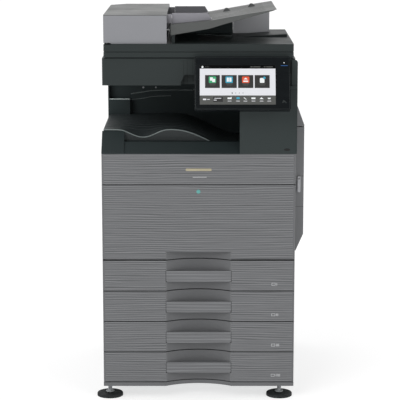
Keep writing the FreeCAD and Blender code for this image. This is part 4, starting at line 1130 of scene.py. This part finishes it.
def buildExitRecess():
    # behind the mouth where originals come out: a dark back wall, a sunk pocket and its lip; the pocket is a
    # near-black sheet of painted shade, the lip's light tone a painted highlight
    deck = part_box("document_tray")[0].z - 0.0004
    tray = cadNodes["document_tray"]
    back = frontY + 0.386
    place = Matrix.Identity(4)
    place.col[1] = (0, 0, 1, 0)
    place.col[2] = (0, -1, 0, 0)
    place.translation = (0, back, 0)
    top = []
    for i in range(10):
        x = middleX + (-93 + i * 22.5) / 1000
        hit, spot = tray.ray_cast(Vector((x, back, deck + 0.003)), Vector((0, 0, 1)))[:2]
        top.append((x, (spot.z if hit else deck + 0.05) - 0.003))
    bm = bmesh.new()
    addPrism(bm, [(top[-1][0], deck - 0.0003), (top[0][0], deck - 0.0003)] + top, place, -0.002, 0.0)
    settle("recessWall", meshFrom(bm, "recessWall"), "feeder", ["bayWall"])

    # painted shade: a near-black sheet where the sunk pocket lies in shadow
    bm = bmesh.new()
    corners = [fromFront(x, y, 0) for x, y in ((0, 327), (98, 272), (46, 122), (2, 140))]
    addPrism(bm, [(c.x, c.y) for c in corners], Matrix.Translation((0, 0, deck)), -0.0003, 0.00025)
    settle("recessPocket", meshFrom(bm, "recessPocket"), "feeder", ["slotBlack"])
    lip = [fromFront(x, y, 0) + Vector((0, 0, deck + 0.0012)) for x, y in ((-2, 331), (50, 303), (102, 274))]
    grow("recessLip", pathCurve("lip", lip), beadTree,
        {"Width": 0.003, "Sides": 10, "Material": finishes["highlightBeadGrey"]},
         "feeder")


buildInletCheeks()
buildExitRecess()
print("feeder done")


# ---- control panel: rim, display picture and touch marks; all marks are plain shapes

display = {
    "lift": 0.00012,          # thickness of the lit picture over the glass
    "tiles": [(15.8, 43.9), (64.5, 45.2), (113.5, 45.2), (162.6, 44.5)],
    "tileTop": 30.9, "tileHeight": 39.9,
    "dots": [(96.0, 2.0), (106.4, 1.3), (116.8, 1.3), (127.8, 1.3)],
    "tools": [88.2, 113.2, 134.7, 158.6, 182.5, 205.2],
}


def buildDisplay():
    place = faceFrame("touch_screen")[0]
    bm = bmesh.new()
    names = ["screenWhite", "screenGrey", "tileDark", "iconGreen", "iconTeal", "iconOrange", "iconWhite"]
    lift = display["lift"]

    def shape(outline, finish, layer=1):
        points = [(min(max(x, 0.3), 224.4) / 1000, min(max(y, 0.3), 121.7) / 1000) for x, y in outline]
        addPrism(bm, points, place, lift * (layer - 1) - (0.0002 if layer == 1 else 0.0), lift * layer,
            names.index(finish))

    def bar(x, y, w, h, finish, layer=2, corner=0.0):
        shape(rectangle(x, y, w, h, corner, 3), finish, layer)

    bar(0.3, 10.9, 224.0, 82.7, "screenWhite", 1)
    bar(0.3, 93.7, 224.0, 27.9, "screenGrey", 1)
    # status bar: house, two small marks and two dashes
    shape([(4.4, 5.6), (8.2, 2.2), (12.0, 5.6), (10.6, 5.6), (10.6, 8.8), (5.8, 8.8), (5.8, 5.6)],
        "iconWhite", 1)
    for x, w in ((17.0, 2.6), (23.0, 3.2)):
        bar(x, 4.6, w, 2.2, "screenGrey", 1)
    for x, w in ((150.0, 7.0), (159.0, 21.0), (190.0, 5.0), (197.0, 20.0)):
        bar(x, 4.2, w, 2.8, "screenGrey", 1, 0.8)
    for (x, w), icon in zip(display["tiles"], ("iconGreen", "iconTeal", "iconOrange", "iconWhite")):
        top = display["tileTop"]
        bar(x, top, w, display["tileHeight"], "tileDark", 2, 0.8)
        bar(x + w * 0.28, top + 26.4, w * 0.46, 1.7, "screenGrey", 3)
        bar(x + w * 0.34, top + 30.0, w * 0.34, 1.5, "screenGrey", 3)
        left = x + w / 2 - 10.8
        if icon == "iconGreen":      # two overlapping sheets
            bar(left, top + 4.4, 21.6, 20.0, "iconGreen", 3, 2.5)
            bar(left + 3.5, top + 7.2, 8.5, 10.0, "iconWhite", 4, 0.8)
            bar(left + 10.2, top + 11.6, 8.5, 10.0, "iconWhite", 4, 0.8)
        elif icon == "iconTeal":     # an open book
            bar(left, top + 4.4, 21.6, 20.0, "iconTeal", 3, 2.5)
            bar(left + 3.8, top + 8.0, 6.4, 12.4, "iconWhite", 4, 0.6)
            bar(left + 11.4, top + 8.0, 6.4, 12.4, "iconWhite", 4, 0.6)
        elif icon == "iconOrange":   # a sheet on a tray
            bar(left, top + 4.4, 21.6, 20.0, "iconOrange", 3, 2.5)
            shape([(left + 4.5, top + 13.5), (left + 10.8, top + 8.0), (left + 17.0, top + 13.5)],
                "iconWhite", 4)
            bar(left + 3.6, top + 17.0, 14.4, 4.2, "iconWhite", 4, 0.8)
        else:                        # a box with a round tag
            bar(left + 4.0, top + 9.0, 13.5, 15.0, "iconWhite", 3, 2.0)
            shape(ellipse(left + 17.4, top + 8.6, 3.8, 3.8, 16), "iconTeal", 4)
    for i, (x, radius) in enumerate(display["dots"]):
        shape(ellipse(x, 86.2, radius, radius, 12), "tileDark" if i == 0 else "screenGrey", 2)
    # tool bar: a dark block with two strokes, then six small symbols with a dash under each
    bar(39.5, 98.0, 29.0, 15.5, "tileDark", 2, 0.8)
    bar(43.5, 101.5, 20.0, 1.8, "screenWhite", 3)
    bar(41.0, 107.0, 9.0, 2.0, "screenWhite", 3)
    bar(9.5, 103.5, 10.0, 4.5, "screenWhite", 2, 1.0)
    bar(22.0, 104.8, 8.0, 2.0, "screenWhite", 2)
    symbols = [
        [(-6, -3), (3, -3), (6, -6), (6, 3), (-6, 3)],
        [(-5, 3), (-5, -3), (0, -5), (5, -3), (5, 3)],
        [(-4, -4), (4, 4), (1.5, 4.6), (-4.8, -1.6)],
        [(-6, -3), (6, -3), (6, 3), (-6, 3)],
        [(-6, 3), (0, -4), (6, 3)],
        [(-5, -2), (5, -2), (3, 3), (-3, 3)],
    ]
    for x, outline in zip(display["tools"], symbols):
        shape([(x + a, 102.4 + b * 0.8) for a, b in outline],
            "iconTeal" if x == display["tools"][1] else "iconWhite", 2)
        bar(x - 5.5, 110.2, 11.0, 1.6, "screenWhite", 2)
    settle("displayPicture", meshFrom(bm, "displayPicture"), "control_panel", names)


def buildPanelMarks():
    place, width, height = faceFrame("control_panel")
    screenPlace = faceFrame("touch_screen")[0]
    offset = place.inverted() @ screenPlace.translation
    bm = bmesh.new()
    names = ["statusBlue", "iconWhite", "panelRim"]

    def shape(outline, finish, thickness=0.00012):
        points = [(x / 1000 + offset.x, y / 1000 + offset.y) for x, y in outline]
        addPrism(bm, points, place, -0.0002, thickness, names.index(finish))

    shape(rectangle(240.4, 0.9, 20.6, 1.5, 0.7, 3), "statusBlue")
    shape(ellipse(250.2, -7.2, 1.6, 1.6, 16), "iconWhite")
    # the energy key: two small peaks
    shape([(242.6, 116.5), (247.3, 107.0), (249.4, 111.2), (246.8, 116.5)], "panelRim", 0.0003)
    shape([(250.6, 108.2), (257.6, 116.5), (253.2, 116.5), (248.6, 112.6)], "panelRim", 0.0003)
    settle("panelMarks", meshFrom(bm, "panelMarks"), "control_panel", names)

    # a narrow satin rim round the glossy front
    rim = bmesh.new()
    outer = rectangle(0, 0, width, height, 0.004, 6)
    inner = rectangle(0.0036, 0.0036, width - 0.0072, height - 0.0072, 0.0026, 6)
    levels = [(outer, -0.0012), (outer, -0.0003), (inner, 0.00004), (inner, -0.0012)]
    rings = []
    for outline, level in levels:
        rings.append([rim.verts.new(place @ Vector((x, y, level))) for x, y in outline])
    count = len(outer)
    for first, second in zip(rings, rings[1:] + rings[:1]):
        for i in range(count):
            j = (i + 1) % count
            rim.faces.new((first[i], first[j], second[j], second[i]))
    settle("panelRim", meshFrom(rim, "panelRim"), "control_panel", ["panelRim"])


buildDisplay()
buildPanelMarks()
print("control panel done")


# ---- small marks on the fronts: blank badge, drawer signs, presence sensor

marks = {"badgeWidth": 78.0, "badgeHeight": 7.5, "badgeZ": 715.0, "dotZ": 648.0, "sensorZ": 776.2,
         "signX": 237.5, "signDrop": 0.0735}


def frontPlace(z):
    # a drawing plane on the fronts, with x to the right and y downwards
    place = Matrix.Identity(4)
    place.col[0] = (1, 0, 0, 0)
    place.col[1] = (0, 0, -1, 0)
    place.col[2] = (0, -1, 0, 0)
    place.translation = Vector((middleX, frontY, z / 1000))
    return place


def buildMarks():
    mm = 0.001
    bm = bmesh.new()
    names = ["badgePale", "markPale", "markTeal"]
    place = frontPlace(marks["badgeZ"])
    width, height = marks["badgeWidth"] * mm, marks["badgeHeight"] * mm
    addPrism(bm, rectangle(-width / 2, -height / 2, width, height, 0.0022, 5), place, -0.0003, 0.0007, 0,
        0.0003)
    addPrism(bm, rectangle(-0.018, 0.0215, 0.042, 0.0022, 0.0008, 4), place, -0.0003, 0.0003, 1)
    settle("blankBadge", meshFrom(bm, "blankBadge"), "cabinet", names)

    bm = bmesh.new()
    addPrism(bm, ellipse(-0.0005, 0.0, 0.0062, 0.0062, 32), frontPlace(marks["dotZ"]), -0.0003, 0.0006, 2,
        0.0004)
    settle("coverDot", meshFrom(bm, "coverDot"), "front_cover", names)

    for number in range(1, 5):
        sign = frontPlace((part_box("drawer_%d_front" % number)[1].z - marks["signDrop"]) * 1000)
        bm = bmesh.new()
        x0, w, h, line = marks["signX"] * mm - 0.0145, 0.012, 0.0084, 0.0015
        # an open sheet outline made of four strokes, and as many ticks as the drawer's number
        for x, y, a, b in ((0, 0, w, line), (0, h - line, w, line), (0, line, line, h - 2 * line),
            (w - line, line, line, h - 2 * line)):
            addPrism(bm, rectangle(x0 + x, y - h / 2, a, b), sign, -0.0003, 0.0002, 1)
        for tick in range(number):
            addPrism(bm, rectangle(x0 + w + 0.0030 + tick * 0.0038, -h / 2, 0.0020, h), sign, -0.0003,
                0.0002, 1)
        settle("drawerSign_%d" % number, meshFrom(bm, "drawerSign"), "drawer_%d" % number,
            names)

    # presence sensor: a dark oval lens low on the right column
    bm = bmesh.new()
    place = frontPlace(marks["sensorZ"])
    addPrism(bm, ellipse(0.2660, 0.0, 0.0095, 0.0036, 32), place, -0.0003, 0.0011, 0, 0.0008)
    settle("sensorLens", meshFrom(bm, "sensorLens"), "cabinet", ["slotBlack"])


buildMarks()
print("marks done")
